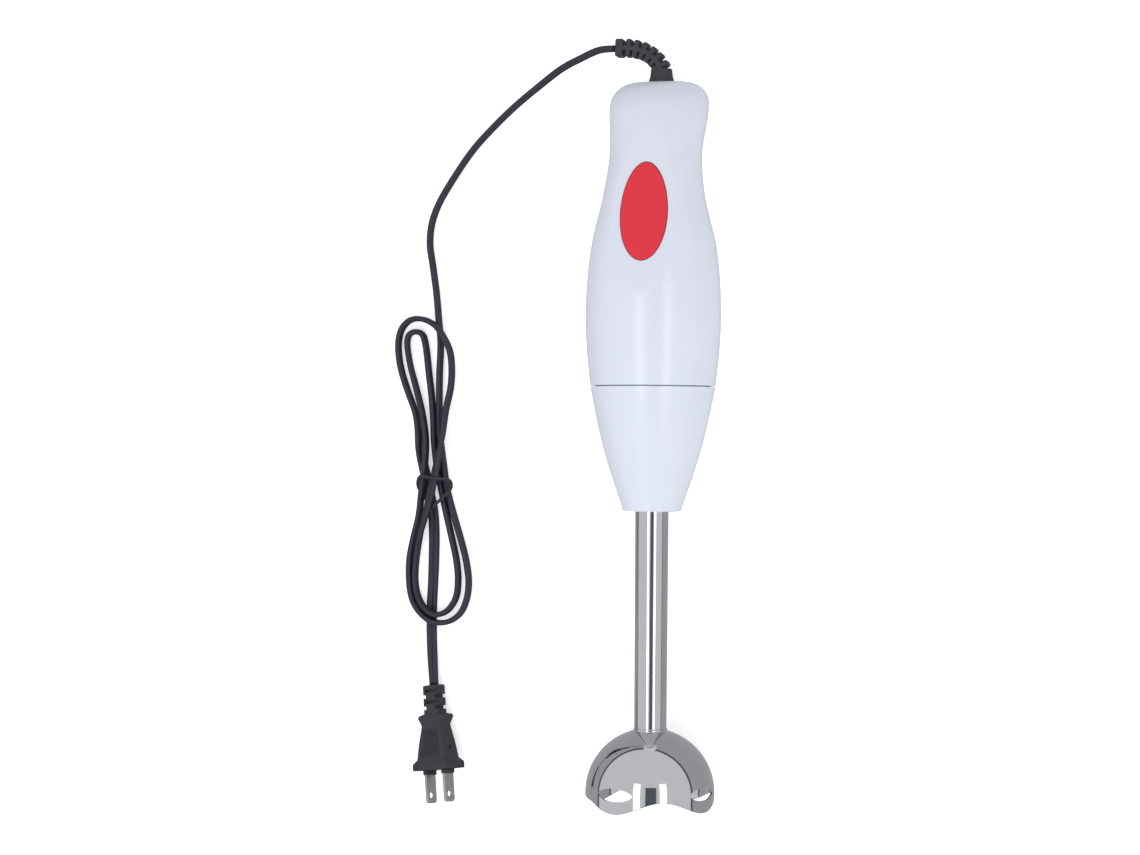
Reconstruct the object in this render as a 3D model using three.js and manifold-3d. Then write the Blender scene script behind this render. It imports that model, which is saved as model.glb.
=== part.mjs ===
// A corded immersion blender that lies on its back, button up, with its mains cord tied in a hank
// beside it. Millimetres, +Z up. The blender's long axis runs along Y, bell towards -Y.
import * as THREE from 'three';
import { mergeVertices } from 'three/addons/utils/BufferGeometryUtils.js';
import Module from 'manifold-3d';

const wasm = await Module();
wasm.setup();

// ---- Driving dimensions -------------------------------------------------------------------------
// Lengths along the axis are places on Y. The assembly is centred on its length at the end.
const topY = 177;               // top of the handle
const seamY = 30;               // seam between the handle and the nose cone
const noseEndY = -29.7;         // small end of the nose cone
const bellTopY = -134.4;        // where the bell leaves the shaft tube
const archY = -165.4;           // tops of the arches in the bell's rim
const lobeY = -171.5;           // tips of the lobes in the bell's rim

const bellyRadius = 32.4;       // widest round of the motor housing, which rests on the table
const bellyAboveSeam = 37;      // how far above the seam the widest round lies
const seamRadius = 29.9;
const wall = 2.2;               // moulded wall of the housing and the nose
const seamGap = 0.5;            // visible line between the handle and the nose cone
const partingGap = 0.3;         // between the two half shells
const clearance = 0.3;          // between pieces that touch or are pressed together
const lipHeight = 5;            // spigot of the nose cone inside the handle

const capCornerX = 10;          // corner radius at the sides of the handle's top
const capFlatX = 13;            // half-width of the flat that it leaves
const capCornerFront = 16;      // longer, softer corner on the front of the top
const capFrontZ = -8;           // front edge of the flat top
const capCornerRear = 7;
const capRearZ = -25.5;         // rear edge of the flat top

const facetTop = 24;            // start of the shallow facet round the button, from the top
const facetLength = 78;
const facetSag = 1.2;           // how hollow the facet is

const buttonFromTop = 65;       // middle of the button, from the top
const buttonHalfLength = 23.4;
const buttonHalfWidth = 11.2;
const buttonEgg = 0.06;         // how much fuller the lower end is
const buttonStands = 0.9;       // how proud of the facet it stands
const buttonGap = 0.45;
const buttonFlange = 1.8;       // rim that holds it behind the shell
const buttonSkin = 1.6;
const buttonTravel = 3;

const tubeTopRadius = 8;
const tubeBottomRadius = 7.7;
const tubeWall = 0.8;
const tubeInNose = 32;          // how far the tube reaches into the nose cone
const noseEndRadius = 14.4;
const sleeveWall = 2.6;         // socket in the nose cone that holds the tube

const bellRadius = 30.9;
const bellDomeHeight = 30.4;
const bellWall = 1;
const archHalfWidth = 17;
const windowHalfWidth = 9.8;
const windowHalfHeight = 3.1;
const windowY = -162.3;
const lobeAzimuth = -22;        // degrees from the front, towards +X
const bellSides = 4;

const motorShaftRadius = 2;
const driveShaftRadius = 2.5;
const motorReach = 69.4;        // how far above the seam the motor's upper bearing ends
const stackLength = 22;         // lamination stack of the motor
const statorHalfX = 20.5;
const statorHalfZ = 23;
const statorCorner = 9;
const boreRadius = 14;
const airGap = 0.6;
const neckHalfX = 8.5;
const coilSection = 6.4;
const commutatorRadius = 7.2;
const commutatorLength = 12;
const brushSide = 4.4;
const bearingRadius = 5;
const bearingLength = 4;
const fanRadius = 23;
const fanBlades = 9;
const bladeRadius = 21;
const bladeY = -159;

const cordWidth = 5.4;          // the flat twin lead is 5.4 mm wide
const cordExitZ = -15;          // the cord leaves the top behind the axis
const reliefBend = 10.4;
const reliefRings = 6;
const tieThickness = 1.3;

// ---- Solids and helpers -------------------------------------------------------------------------
// Keeps positions only, drops collapsed triangles and turns the faces outwards.
function weld(geometry) {
  const plain = geometry.clone();
  for (const name of Object.keys(plain.attributes)) {
    if (name !== 'position') plain.deleteAttribute(name);
  }
  const merged = mergeVertices(plain, 1e-4);
  const place = merged.attributes.position;
  const index = merged.index.array;
  const kept = [];
  let volume = 0;
  const a = new THREE.Vector3();
  const b = new THREE.Vector3();
  const c = new THREE.Vector3();
  for (let i = 0; i < index.length; i += 3) {
    const [p, q, r] = [index[i], index[i + 1], index[i + 2]];
    if (p === q || q === r || r === p) continue;
    kept.push(p, q, r);
    a.fromBufferAttribute(place, p);
    b.fromBufferAttribute(place, q);
    c.fromBufferAttribute(place, r);
    volume += a.dot(b.cross(c));
  }
  if (volume < 0) kept.reverse();
  merged.setIndex(kept);
  return merged;
}

function solid(geometry) {
  const welded = weld(geometry);
  const mesh = new wasm.Mesh({
    numProp: 3,
    vertProperties: new Float32Array(welded.attributes.position.array),
    triVerts: new Uint32Array(welded.index.array),
  });
  return new wasm.Manifold(mesh);
}

function surface(manifold) {
  const mesh = manifold.getMesh();
  const geometry = new THREE.BufferGeometry();
  geometry.setAttribute('position', new THREE.BufferAttribute(new Float32Array(mesh.vertProperties), 3));
  geometry.setIndex(new THREE.BufferAttribute(new Uint32Array(mesh.triVerts), 1));
  return geometry;
}

function joined(first, ...others) {
  return others.reduce((sum, next) => sum.add(solid(next)), solid(first));
}

function without(body, ...cutters) {
  return cutters.reduce((rest, next) => rest.subtract(solid(next)), body);
}

// A box from its lowest and highest corners.
function block(low, high) {
  const size = high.map((value, i) => value - low[i]);
  const middle = high.map((value, i) => (value + low[i]) / 2);
  return new THREE.BoxGeometry(...size).translate(...middle);
}

// A round bar along Y.
function bar(radius, lowY, highY, sides = 14) {
  const middle = (lowY + highY) / 2;
  return new THREE.CylinderGeometry(radius, radius, highY - lowY, sides).translate(0, middle, 0);
}

// A round bar along Z.
function post(radius, lowZ, highZ, x, y, sides = 10) {
  const geometry = new THREE.CylinderGeometry(radius, radius, highZ - lowZ, sides).rotateX(Math.PI / 2);
  return geometry.translate(x, y, (lowZ + highZ) / 2);
}

// A ring about Y.
function ring(outer, inner, lowY, highY, sides = 14) {
  const corners = [[inner, lowY], [outer, lowY], [outer, highY], [inner, highY], [inner, lowY]];
  return new THREE.LatheGeometry(corners.map(([r, y]) => new THREE.Vector2(r, y)), sides);
}

// An outline in X and Z, drawn out along Y.
function alongY(shape, lowY, highY, curveSegments = 6) {
  const geometry = new THREE.ExtrudeGeometry(shape, { depth: highY - lowY, bevelEnabled: false, curveSegments });
  return geometry.rotateX(Math.PI / 2).translate(0, highY, 0);
}

// An outline in X and Y, drawn out along Z.
function alongZ(shape, lowZ, highZ, curveSegments = 12) {
  const geometry = new THREE.ExtrudeGeometry(shape, { depth: highZ - lowZ, bevelEnabled: false, curveSegments });
  return geometry.translate(0, 0, lowZ);
}

// An outline in Y and Z, drawn out along X and centred on it.
function alongX(shape, halfWidth) {
  const geometry = new THREE.ExtrudeGeometry(shape, { depth: 2 * halfWidth, bevelEnabled: false });
  geometry.translate(0, 0, -halfWidth);
  const turn = new THREE.Matrix4().makeBasis(
    new THREE.Vector3(0, 1, 0),
    new THREE.Vector3(0, 0, 1),
    new THREE.Vector3(1, 0, 0),
  );
  return geometry.applyMatrix4(turn);
}

function outline(points) {
  return new THREE.Shape(points.map(([x, y]) => new THREE.Vector2(x, y)));
}

function roundedOutline(halfX, halfY, corner) {
  const shape = new THREE.Shape();
  const [x, y] = [halfX - corner, halfY - corner];
  shape.absarc(x, y, corner, 0, Math.PI / 2);
  shape.absarc(-x, y, corner, Math.PI / 2, Math.PI);
  shape.absarc(-x, -y, corner, Math.PI, 1.5 * Math.PI);
  shape.absarc(x, -y, corner, 1.5 * Math.PI, 2 * Math.PI);
  return shape;
}

// A smooth curve through [place, value] stations, read at one place.
function throughStations(stations) {
  const points = stations.map(([place, value]) => new THREE.Vector3(place, value, 0));
  const curve = new THREE.CatmullRomCurve3(points, false, 'centripetal');
  const table = curve.getPoints(stations.length * 12);
  return (place) => {
    const next = table.findIndex((point) => point.x >= place);
    if (next < 0) return table[table.length - 1].y;
    if (next === 0) return table[0].y;
    const [low, high] = [table[next - 1], table[next]];
    return low.y + (high.y - low.y) * (place - low.x) / (high.x - low.x);
  };
}

// Joins rings of equal point counts into one closed body, fanned shut at both ends.
function loft(rings) {
  const count = rings[0].length;
  const places = rings.flat(2);
  const centre = (points) => [0, 1, 2].map((k) => points.reduce((sum, p) => sum + p[k], 0) / count);
  places.push(...centre(rings[0]), ...centre(rings[rings.length - 1]));
  const faces = [];
  for (let i = 0; i < rings.length - 1; i++) {
    for (let j = 0; j < count; j++) {
      const [a, b] = [i * count + j, i * count + (j + 1) % count];
      faces.push(a, b, b + count, a, b + count, a + count);
    }
  }
  const last = (rings.length - 1) * count;
  const start = rings.length * count;
  for (let j = 0; j < count; j++) {
    const next = (j + 1) % count;
    faces.push(start, next, j, start + 1, last + j, last + next);
  }
  const geometry = new THREE.BufferGeometry();
  geometry.setAttribute('position', new THREE.Float32BufferAttribute(places, 3));
  geometry.setIndex(faces);
  return geometry;
}

// A rounded section in X and Z at one height, squarer as the power rises.
function section(y, halfX, topZ, bottomZ, power, count) {
  const middle = (topZ + bottomZ) / 2;
  const halfZ = (topZ - bottomZ) / 2;
  const squared = (value) => Math.sign(value) * Math.abs(value) ** (2 / power);
  return Array.from({ length: count }, (_, i) => {
    const angle = 2 * Math.PI * i / count;
    return [halfX * squared(Math.cos(angle)), y, middle + halfZ * squared(Math.sin(angle))];
  });
}

// A helical spring about Z.
function spring(radius, wire, lowZ, highZ, turns, perTurn = 8, sides = 4) {
  const steps = Math.round(turns * perTurn);
  const points = Array.from({ length: steps + 1 }, (_, i) => {
    const angle = 2 * Math.PI * i / perTurn;
    const z = lowZ + wire + (highZ - lowZ - 2 * wire) * i / steps;
    return new THREE.Vector3(radius * Math.cos(angle), radius * Math.sin(angle), z);
  });
  return swept(points, wire, sides, steps);
}

// A round cord or wire along a smooth curve through the points.
function swept(points, radius, sides, steps) {
  const circle = Array.from({ length: sides }, (_, i) => {
    const angle = 2 * Math.PI * i / sides;
    return [radius * Math.cos(angle), radius * Math.sin(angle)];
  });
  const extrudePath = new THREE.CatmullRomCurve3(points, false, 'centripetal');
  return new THREE.ExtrudeGeometry(outline(circle), { steps, extrudePath, bevelEnabled: false });
}

const finishes = {
  shell: { color: 0xdee2ee, roughness: 0.22, metalness: 0 },
  red: { color: 0xe03a4b, roughness: 0.4, metalness: 0 },
  rubber: { color: 0x3e4246, roughness: 0.65, metalness: 0 },
  cord: { color: 0x2d2f3c, roughness: 0.5, metalness: 0 },
  steel: { color: 0xc9cacc, roughness: 0.12, metalness: 1 },
  bright: { color: 0xb9b8b4, roughness: 0.3, metalness: 1 },
  iron: { color: 0x6c6e72, roughness: 0.55, metalness: 0.8 },
  copper: { color: 0xb4693a, roughness: 0.35, metalness: 1 },
  brass: { color: 0xc09a4b, roughness: 0.35, metalness: 1 },
  carbon: { color: 0x2a2a2c, roughness: 0.7, metalness: 0.2 },
  moulding: { color: 0xd8d4c8, roughness: 0.5, metalness: 0 },
  board: { color: 0x2f6b45, roughness: 0.5, metalness: 0 },
};

function place(group, name, geometry, finish) {
  const mesh = new THREE.Mesh(weld(geometry), new THREE.MeshStandardMaterial(finishes[finish]));
  mesh.name = name;
  group.add(mesh);
  return mesh;
}

// ---- Shape of the handle ------------------------------------------------------------------------
// Stations near the top are measured from the top, those near the belly from the seam.
const handleLength = topY - seamY;
const bellyFromTop = handleLength - bellyAboveSeam;
const shoulderFromTop = bellyFromTop - 29;
const shoulderRadius = bellyRadius - 2.3;

const handleWidth = throughStations([
  [0, 23], [14, 23.7], [36, 22], [56, 24.3], [shoulderFromTop, shoulderRadius],
  [bellyFromTop, bellyRadius], [handleLength - 16, bellyRadius - 0.8], [handleLength, seamRadius],
]);
const handleFront = throughStations([
  [0, 7.6], [16, 12.8], [36, 19.3], [56, 25.2], [shoulderFromTop, shoulderRadius],
  [bellyFromTop, bellyRadius], [handleLength - 16, bellyRadius - 0.8], [handleLength, seamRadius],
]);
const handleRear = throughStations([
  [0, -31.4], [14, -31.6], [36, -25.6], [56, -24.6], [shoulderFromTop, -shoulderRadius],
  [bellyFromTop, -bellyRadius], [handleLength - 16, 0.8 - bellyRadius], [handleLength, -seamRadius],
]);

// The outer surface of the handle, or the surface set in from it.
function handleSection(fromTop, inset, count) {
  const depth = fromTop - inset;
  const rounded = (radius) => Math.sqrt(1 - (1 - Math.min(depth / radius, 1)) ** 2);
  const halfX = capFlatX + (handleWidth(fromTop) - inset - capFlatX) * rounded(capCornerX);
  const front = capFrontZ + (handleFront(fromTop) - inset - capFrontZ) * rounded(capCornerFront);
  const rear = capRearZ + (handleRear(fromTop) + inset - capRearZ) * rounded(capCornerRear);
  const power = 2 + 0.3 * Math.max(0, 1 - fromTop / shoulderFromTop);
  return section(topY - fromTop, halfX, front, rear, power, count);
}

function handleLoft(inset, lowest, count) {
  const corner = [0, 0.9, 3, 6.5, 11].map((depth) => depth + inset);
  const rest = Array.from({ length: 12 }, (_, i) => 18 + (topY - lowest - 18) * i / 11);
  return loft([...corner, ...rest].map((fromTop) => handleSection(fromTop, inset, count)));
}

// Height of the facet round the button, lifted or lowered by an offset.
function facetHeight(y, lift) {
  const along = (topY - facetTop - y) / facetLength;
  const upper = handleFront(facetTop);
  const lower = handleFront(facetTop + facetLength);
  return upper + (lower - upper) * along - 4 * facetSag * along * (1 - along) + lift;
}

// A slab that follows the facet between two lifts.
function facetSlab(lowLift, highLift, halfWidth = 40) {
  const reach = 0.25 * facetLength;
  const start = topY - facetTop - facetLength - reach;
  const steps = 16;
  const places = Array.from({ length: steps + 1 }, (_, i) => start + (facetLength + 2 * reach) * i / steps);
  const lower = places.map((y) => [y, facetHeight(y, lowLift)]);
  const upper = places.map((y) => [y, facetHeight(y, highLift)]).reverse();
  return alongX(outline([...lower, ...upper]), halfWidth);
}

// The egg-shaped outline of the button, grown by an offset.
const buttonY = topY - buttonFromTop;

function buttonOutline(grow) {
  const count = 28;
  const points = Array.from({ length: count }, (_, i) => {
    const angle = 2 * Math.PI * i / count;
    const along = Math.cos(angle);
    const half = (buttonHalfWidth + grow) * Math.sin(angle) * (1 - buttonEgg * along);
    return [half, buttonY + (buttonHalfLength + grow) * along];
  });
  return outline(points);
}

// ---- Places of the motor's parts, from its upper bearing down ------------------------------------
const bridgeThickness = 3;
const endTurn = 6.6;            // windings beyond each end of the stack
const running = 2;              // free length between turning and fixed parts
const bridgeTopY = seamY + motorReach - bearingLength;
const bridgeY = bridgeTopY - bridgeThickness;
const commutatorLowY = bridgeY - 1.5 - commutatorLength;
const stackHighY = commutatorLowY - running - endTurn - clearance;
const stackLowY = stackHighY - stackLength;
const lowerBridgeY = stackLowY - clearance - endTurn - running;
const fanHeight = 6;
const fanLowY = lowerBridgeY - bridgeThickness - running - fanHeight;

// ---- Housing ------------------------------------------------------------------------------------
const farOut = 60;
const ribY = stackLowY + stackLength / 2;
const ribThickness = 3;
const handleEndY = seamY + seamGap / 2;
const screwShank = 1.3;
const screwHead = 2.9;
const screwSeatZ = -15;
const screwTipZ = 7;
const bossRadius = 3.4;
const lowerScrewX = buttonHalfWidth + buttonFlange + bossRadius + 1.1;   // beside the button's rim
const lowerScrewY = seamY + motorReach + 5.6;
const screwPlaces = [[-13.2, topY - 29], [13.2, topY - 29], [-lowerScrewX, lowerScrewY], [lowerScrewX, lowerScrewY]];
const clampY = topY - 19;
const clampScrewX = 6.6;
const clampBossTopZ = cordExitZ + 1.2;
const ventSlots = 5;
const ventPitch = 4.5;
const ventFirstY = seamY + 48;

function partingHeight(y) {
  const fromTop = Math.max(0, Math.min(topY - y, handleLength));
  return (handleFront(fromTop) + handleRear(fromTop)) / 2;
}

// Everything in front of (side 1) or behind (side -1) the parting line.
function halfSpace(side) {
  const steps = 14;
  const low = seamY - 12;
  const places = Array.from({ length: steps + 1 }, (_, i) => low + (topY + 10 - low) * i / steps);
  const line = places.map((y) => [y, partingHeight(y) + side * partingGap / 2]);
  const edge = [[topY + 10, side * farOut], [low, side * farOut]];
  return alongX(outline([...line, ...edge]), farOut);
}

function statorOutline(grow) {
  return roundedOutline(statorHalfX + grow, statorHalfZ + grow, statorCorner + grow);
}

function housingBody() {
  const outer = without(solid(handleLoft(0, handleEndY, 32)), facetSlab(0, 30));
  const hollow = without(solid(handleLoft(wall, seamY - 8, 24)), facetSlab(-wall, 30));
  const ribSlab = block([-farOut, ribY - ribThickness / 2, -farOut], [farOut, ribY + ribThickness / 2, farOut]);
  const rib = without(outer.intersect(solid(ribSlab)), alongY(statorOutline(clearance), 0, topY));
  const bosses = screwPlaces.map(([x, y]) => post(bossRadius, -farOut, farOut, x, y));
  const pillars = outer.intersect(joined(...bosses));
  return outer.subtract(hollow).add(rib).add(pillars);
}

function screwHoles() {
  const depth = screwTipZ + 1;
  return screwPlaces.flatMap(([x, y]) => [
    post(screwShank + clearance, -farOut, depth, x, y),
    post(screwHead + clearance, -farOut, screwSeatZ, x, y),
  ]);
}

function reliefHole() {
  return bar(reliefNeck + clearance, topY - 20, topY + 5).translate(0, 0, cordExitZ);
}

function frontShell(body) {
  const opening = alongZ(buttonOutline(buttonGap), 0, farOut);
  const half = body.intersect(solid(halfSpace(1)));
  return surface(without(half, opening, reliefHole(), ...screwHoles()));
}

function rearShell(body) {
  const clampBosses = [-1, 1].map((side) => post(2.6, -farOut, clampBossTopZ, side * clampScrewX, clampY));
  const boardPosts = [[0, boardLowY + 4], [0, boardHighY - 4]].map(
    ([x, y]) => post(3, -farOut, boardBottomZ - clearance, x, y),
  );
  const outer = without(solid(handleLoft(0, handleEndY, 32)), facetSlab(0, 30));
  const supports = outer.intersect(joined(...clampBosses, ...boardPosts));
  const half = body.add(supports).intersect(solid(halfSpace(-1)));
  const slots = Array.from({ length: ventSlots }, (_, i) => {
    const y = ventFirstY + ventPitch * i;
    return block([-9, y - 1, -farOut], [9, y + 1, -20]);
  });
  const clampHoles = [-1, 1].map(
    (side) => post(1 + clearance, clampScrewTipZ - 1, 0, side * clampScrewX, clampY),
  );
  return surface(without(half, reliefHole(), ...screwHoles(), ...slots, ...clampHoles));
}

// The nose cone: outer flank, end plate with the tube's socket, and the lip inside the handle.
const tubeTopY = noseEndY + tubeInNose;
const socketRadius = tubeTopRadius + clearance;
const noseLength = seamY - noseEndY;
const noseFlank = throughStations([
  [0, seamRadius], [0.26 * noseLength, seamRadius - 3.0], [0.52 * noseLength, seamRadius - 6.6],
  [0.76 * noseLength, noseEndRadius + 4.6], [0.97 * noseLength, noseEndRadius + 0.4], [noseLength, noseEndRadius],
]);

function noseCone() {
  const top = seamY - seamGap / 2;
  const corner = 1.5;
  const steps = 6;
  const flank = Array.from({ length: steps + 1 }, (_, i) => {
    const below = (top - noseEndY - corner) * i / steps;
    return [noseFlank(below), top - below];
  }).reverse();
  const inside = flank.filter(([, y]) => y > noseEndY + 6).map(([r, y]) => [r - wall, y]).reverse();
  const lip = seamRadius - wall - clearance;
  const profile = [
    [socketRadius, noseEndY], [noseEndRadius - corner, noseEndY], [noseEndRadius - 0.4, noseEndY + 0.4],
    ...flank,
    [lip, top], [lip, seamY + lipHeight], [lip - 1.8, seamY + lipHeight], [lip - 1.8, top - 1],
    ...inside.slice(1),
    [socketRadius + sleeveWall, noseEndY + 4], [socketRadius + sleeveWall, tubeTopY - 6],
    [socketRadius, tubeTopY - 6], [socketRadius, noseEndY],
  ];
  return new THREE.LatheGeometry(profile.map(([r, y]) => new THREE.Vector2(r, y)), 32);
}

// ---- Button and switch --------------------------------------------------------------------------
const springRadius = 4.6;
const springWire = 0.45;
const postRadius = 2.4;
const plungerRadius = 1.7;
const switchTopZ = 7.5;
const switchHalfX = 7;
const switchHalfY = 11;
const plungerTopZ = 11.4;
const boardThickness = 1.6;
const boardBottomZ = -9.9;
const boardLowY = buttonY - switchHalfY - 1;
const boardHighY = buttonY + 30;
const underCap = facetHeight(buttonY, 0) - buttonSkin;

function powerButton() {
  const below = -wall - clearance;
  const cap = solid(alongZ(buttonOutline(0), -farOut, farOut)).intersect(solid(facetSlab(below - 1.5, buttonStands)));
  const rim = solid(alongZ(buttonOutline(buttonFlange), -farOut, farOut)).intersect(
    solid(facetSlab(below - 1.5, below)),
  ).intersect(solid(handleLoft(wall + clearance, seamY - 8, 24)));
  const hollow = solid(alongZ(buttonOutline(-buttonSkin), -farOut, farOut)).intersect(
    solid(facetSlab(-20, -buttonSkin)),
  );
  const stem = solid(post(postRadius, plungerTopZ + clearance, underCap + 0.5, 0, buttonY));
  return surface(cap.add(rim).subtract(hollow).add(stem));
}

function buildSwitch(group) {
  const body = block([-switchHalfX, buttonY - switchHalfY, boardBottomZ + boardThickness + clearance],
    [switchHalfX, buttonY + switchHalfY, switchTopZ]);
  const bottomZ = 2.5;
  const well = post(plungerRadius + clearance, bottomZ - buttonTravel - 1, farOut, 0, buttonY);
  place(group, 'switch_body', surface(without(solid(body), well)), 'moulding');
  place(group, 'switch_plunger', post(plungerRadius, bottomZ, plungerTopZ, 0, buttonY), 'red');
  const coil = spring(springRadius, springWire, switchTopZ + 0.2, underCap - 0.4, 4.5);
  place(group, 'button_spring', coil.translate(0, buttonY, 0), 'bright');
}

function buildBoard(group) {
  const top = boardBottomZ + boardThickness;
  place(group, 'circuit_board', block([-13, boardLowY, boardBottomZ], [13, boardHighY, top]), 'board');
  const partsY = buttonY + switchHalfY + 3;
  const rectifier = block([2, partsY, top + clearance], [10.5, partsY + 8, top + 9]);
  place(group, 'rectifier', rectifier, 'carbon');
  const capacitor = roundedOutline(4.5, 6, 1.5);
  const lifted = alongZ(capacitor, top + clearance, top + 12, 3).translate(-6.5, partsY + 6.5, 0);
  place(group, 'capacitor', lifted, 'brass');
}

// ---- Mains cord entry ---------------------------------------------------------------------------
const reliefNeck = 4.2;
const reliefCollar = 5.9;
const reliefCollarHeight = 7;
const reliefEndX = -22.3;
const reliefHalfZ = 3.7;
const clampScrewTipZ = cordExitZ - 9;

// The point and heading on the relief's centreline, a length from the top of its collar.
function reliefPoint(length) {
  const arc = reliefBend * Math.PI / 2;
  if (length > arc) return { x: -reliefBend - (length - arc), y: reliefBend, turn: Math.PI / 2 };
  const turn = length / reliefBend;
  return { x: -reliefBend * (1 - Math.cos(turn)), y: reliefBend * Math.sin(turn), turn };
}

function strainRelief() {
  const collarTop = topY + clearance + reliefCollarHeight;
  const inside = topY - wall - clearance;
  const stations = [
    [0, inside - 2.4], [6.6, inside - 2.4], [6.6, inside], [reliefNeck, inside], [reliefNeck, topY + clearance],
    [reliefCollar, topY + clearance], [reliefCollar - 0.6, collarTop], [0, collarTop],
  ];
  const base = new THREE.LatheGeometry(stations.map(([r, y]) => new THREE.Vector2(r, y)), 20);
  const total = reliefBend * Math.PI / 2 - reliefEndX - reliefBend;
  const count = 14;
  const spine = Array.from({ length: count + 1 }, (_, i) => {
    const { x, y, turn } = reliefPoint(total * i / count);
    const across = [Math.cos(turn), Math.sin(turn)];
    const corners = [[-2.3, -2.9], [2.3, -2.9], [2.3, 2.9], [-2.3, 2.9]];
    return corners.map(([u, z]) => [x + across[0] * u, collarTop - 0.4 + y + across[1] * u, z]);
  });
  const slabs = Array.from({ length: reliefRings + 1 }, (_, i) => {
    const { x, y, turn } = reliefPoint(2.6 + (total - 3.9) * i / reliefRings);
    const thickness = i === reliefRings ? 2.6 : 2;
    const slab = block([-4.3, -thickness / 2, -reliefHalfZ], [4.3, thickness / 2, reliefHalfZ]);
    return slab.rotateZ(turn).translate(x, collarTop - 0.4 + y, 0);
  });
  return surface(joined(base, loft(spine), ...slabs)).translate(0, 0, cordExitZ);
}

function buildCordEntry(group) {
  place(group, 'strain_relief', strainRelief(), 'rubber');
  const leadTop = topY - wall - 2 * clearance - 2.4;
  const inner = alongY(roundedOutline(cordWidth / 2, 1.4, 1.3), leadTop - 24, leadTop, 3);
  place(group, 'inner_lead', inner.translate(0, 0, cordExitZ), 'cord');
  const barBottom = cordExitZ + 1.4 + clearance;
  const holes = [-1, 1].map((side) => post(1 + clearance, -farOut, farOut, side * clampScrewX, clampY));
  const clamp = solid(block([-9.5, clampY - 3, barBottom], [9.5, clampY + 3, barBottom + 2.2]));
  place(group, 'cord_clamp', surface(without(clamp, ...holes)), 'moulding');
  for (const [name, side] of [['clamp_screw_left', -1], ['clamp_screw_right', 1]]) {
    const [x, seat] = [side * clampScrewX, barBottom + 2.2 + clearance];
    const screw = joined(post(1, clampScrewTipZ, seat + 0.5, x, clampY, 10), post(2, seat, seat + 1.4, x, clampY));
    place(group, name, surface(screw), 'bright');
  }
}

function buildHousingScrews(group) {
  const names = ['upper_screw_left', 'upper_screw_right', 'lower_screw_left', 'lower_screw_right'];
  screwPlaces.forEach(([x, y], i) => {
    const head = screwSeatZ - clearance;
    const screw = joined(
      post(screwShank, head - 0.5, screwTipZ, x, y, 10),
      post(screwHead, head - 2, head, x, y),
    );
    place(group, names[i], surface(screw), 'bright');
  });
}

// ---- Motor --------------------------------------------------------------------------------------
const pocketX = neckHalfX + coilSection + 1;
const pocketLowZ = 12;
const pocketHighZ = pocketLowZ + coilSection + 0.8;
const windingRadius = pocketLowZ - 0.4;
const legInnerX = pocketX + 0.2;
const legHalfZ = 5;
const boltX = (legInnerX + statorHalfX) / 2;
const boltRadius = 1.1;
const motorShaftLowY = 14.2;
const motorShaftHighY = bridgeTopY + bearingLength + 0.3;
const shaftHole = motorShaftRadius + clearance;

function statorCore() {
  const shape = statorOutline(0);
  const shoeX = neckHalfX + 1;
  const shoeAngle = Math.acos(shoeX / boreRadius);
  const steps = 6;
  const arc = Array.from({ length: 2 * steps + 1 }, (_, i) => {
    const angle = shoeAngle + (Math.PI - 2 * shoeAngle) * i / (2 * steps);
    return [boreRadius * Math.cos(angle), boreRadius * Math.sin(angle)];
  });
  const upper = [
    [pocketX, 0], [pocketX, pocketHighZ], [neckHalfX, pocketHighZ], [neckHalfX, pocketLowZ], [shoeX, pocketLowZ],
    ...arc,
    [-shoeX, pocketLowZ], [-neckHalfX, pocketLowZ], [-neckHalfX, pocketHighZ], [-pocketX, pocketHighZ],
  ];
  const lower = upper.map(([x, z]) => [-x, -z]);
  const bolts = [-1, 1].map((side) => bar(boltRadius + clearance, 0, topY, 12).translate(side * boltX, 0, 0));
  const window = outline([...upper, ...lower]);
  const body = solid(alongY(shape, stackLowY, stackHighY, 5));
  return surface(without(body, alongY(window, 0, topY), ...bolts));
}

function fieldCoil(side) {
  const [innerX, outerX] = [neckHalfX + 0.4, neckHalfX + coilSection];
  const middle = (stackLowY + stackHighY) / 2;
  const halfLength = stackLength / 2 + 0.4;
  const shape = roundedOutline(outerX, halfLength + endTurn - 0.8, 4);
  shape.holes.push(roundedOutline(innerX, halfLength, 0.5));
  const [near, far] = [pocketLowZ + 0.4, pocketHighZ - 0.4];
  const coil = side > 0 ? alongZ(shape, near, far, 4) : alongZ(shape, -far, -near, 4);
  return coil.translate(0, middle, 0);
}

function armatureCore() {
  const teeth = 10;
  const radius = boreRadius - airGap;
  const points = [];
  for (let i = 0; i < teeth; i++) {
    const steps = [[0.04, radius - 4], [0.1, radius], [0.5, radius], [0.9, radius], [0.96, radius - 4]];
    for (const [part, r] of steps) {
      const angle = 2 * Math.PI * (i + part) / teeth;
      points.push([r * Math.cos(angle), r * Math.sin(angle)]);
    }
  }
  const core = solid(alongY(outline(points), stackLowY, stackHighY));
  return surface(without(core, bar(shaftHole, 0, topY)));
}

function bridge(lowY, highY, legFromY, legToY, bossFromY, bossToY) {
  const plate = block([-statorHalfX, lowY, -legHalfZ - 3], [statorHalfX, highY, legHalfZ + 3]);
  const legs = [-1, 1].map((side) => {
    const [a, b] = [side * legInnerX, side * statorHalfX].sort((p, q) => p - q);
    return block([a, legFromY, -legHalfZ], [b, legToY, legHalfZ]);
  });
  const boss = bar(bearingRadius + 2.2, bossFromY, bossToY);
  const holes = [-1, 1].map((side) => bar(boltRadius + clearance, 0, topY, 12).translate(side * boltX, 0, 0));
  const bearingSeat = bar(bearingRadius + clearance, 0, topY);
  return surface(without(joined(plate, ...legs, boss), bearingSeat, ...holes));
}

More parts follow.
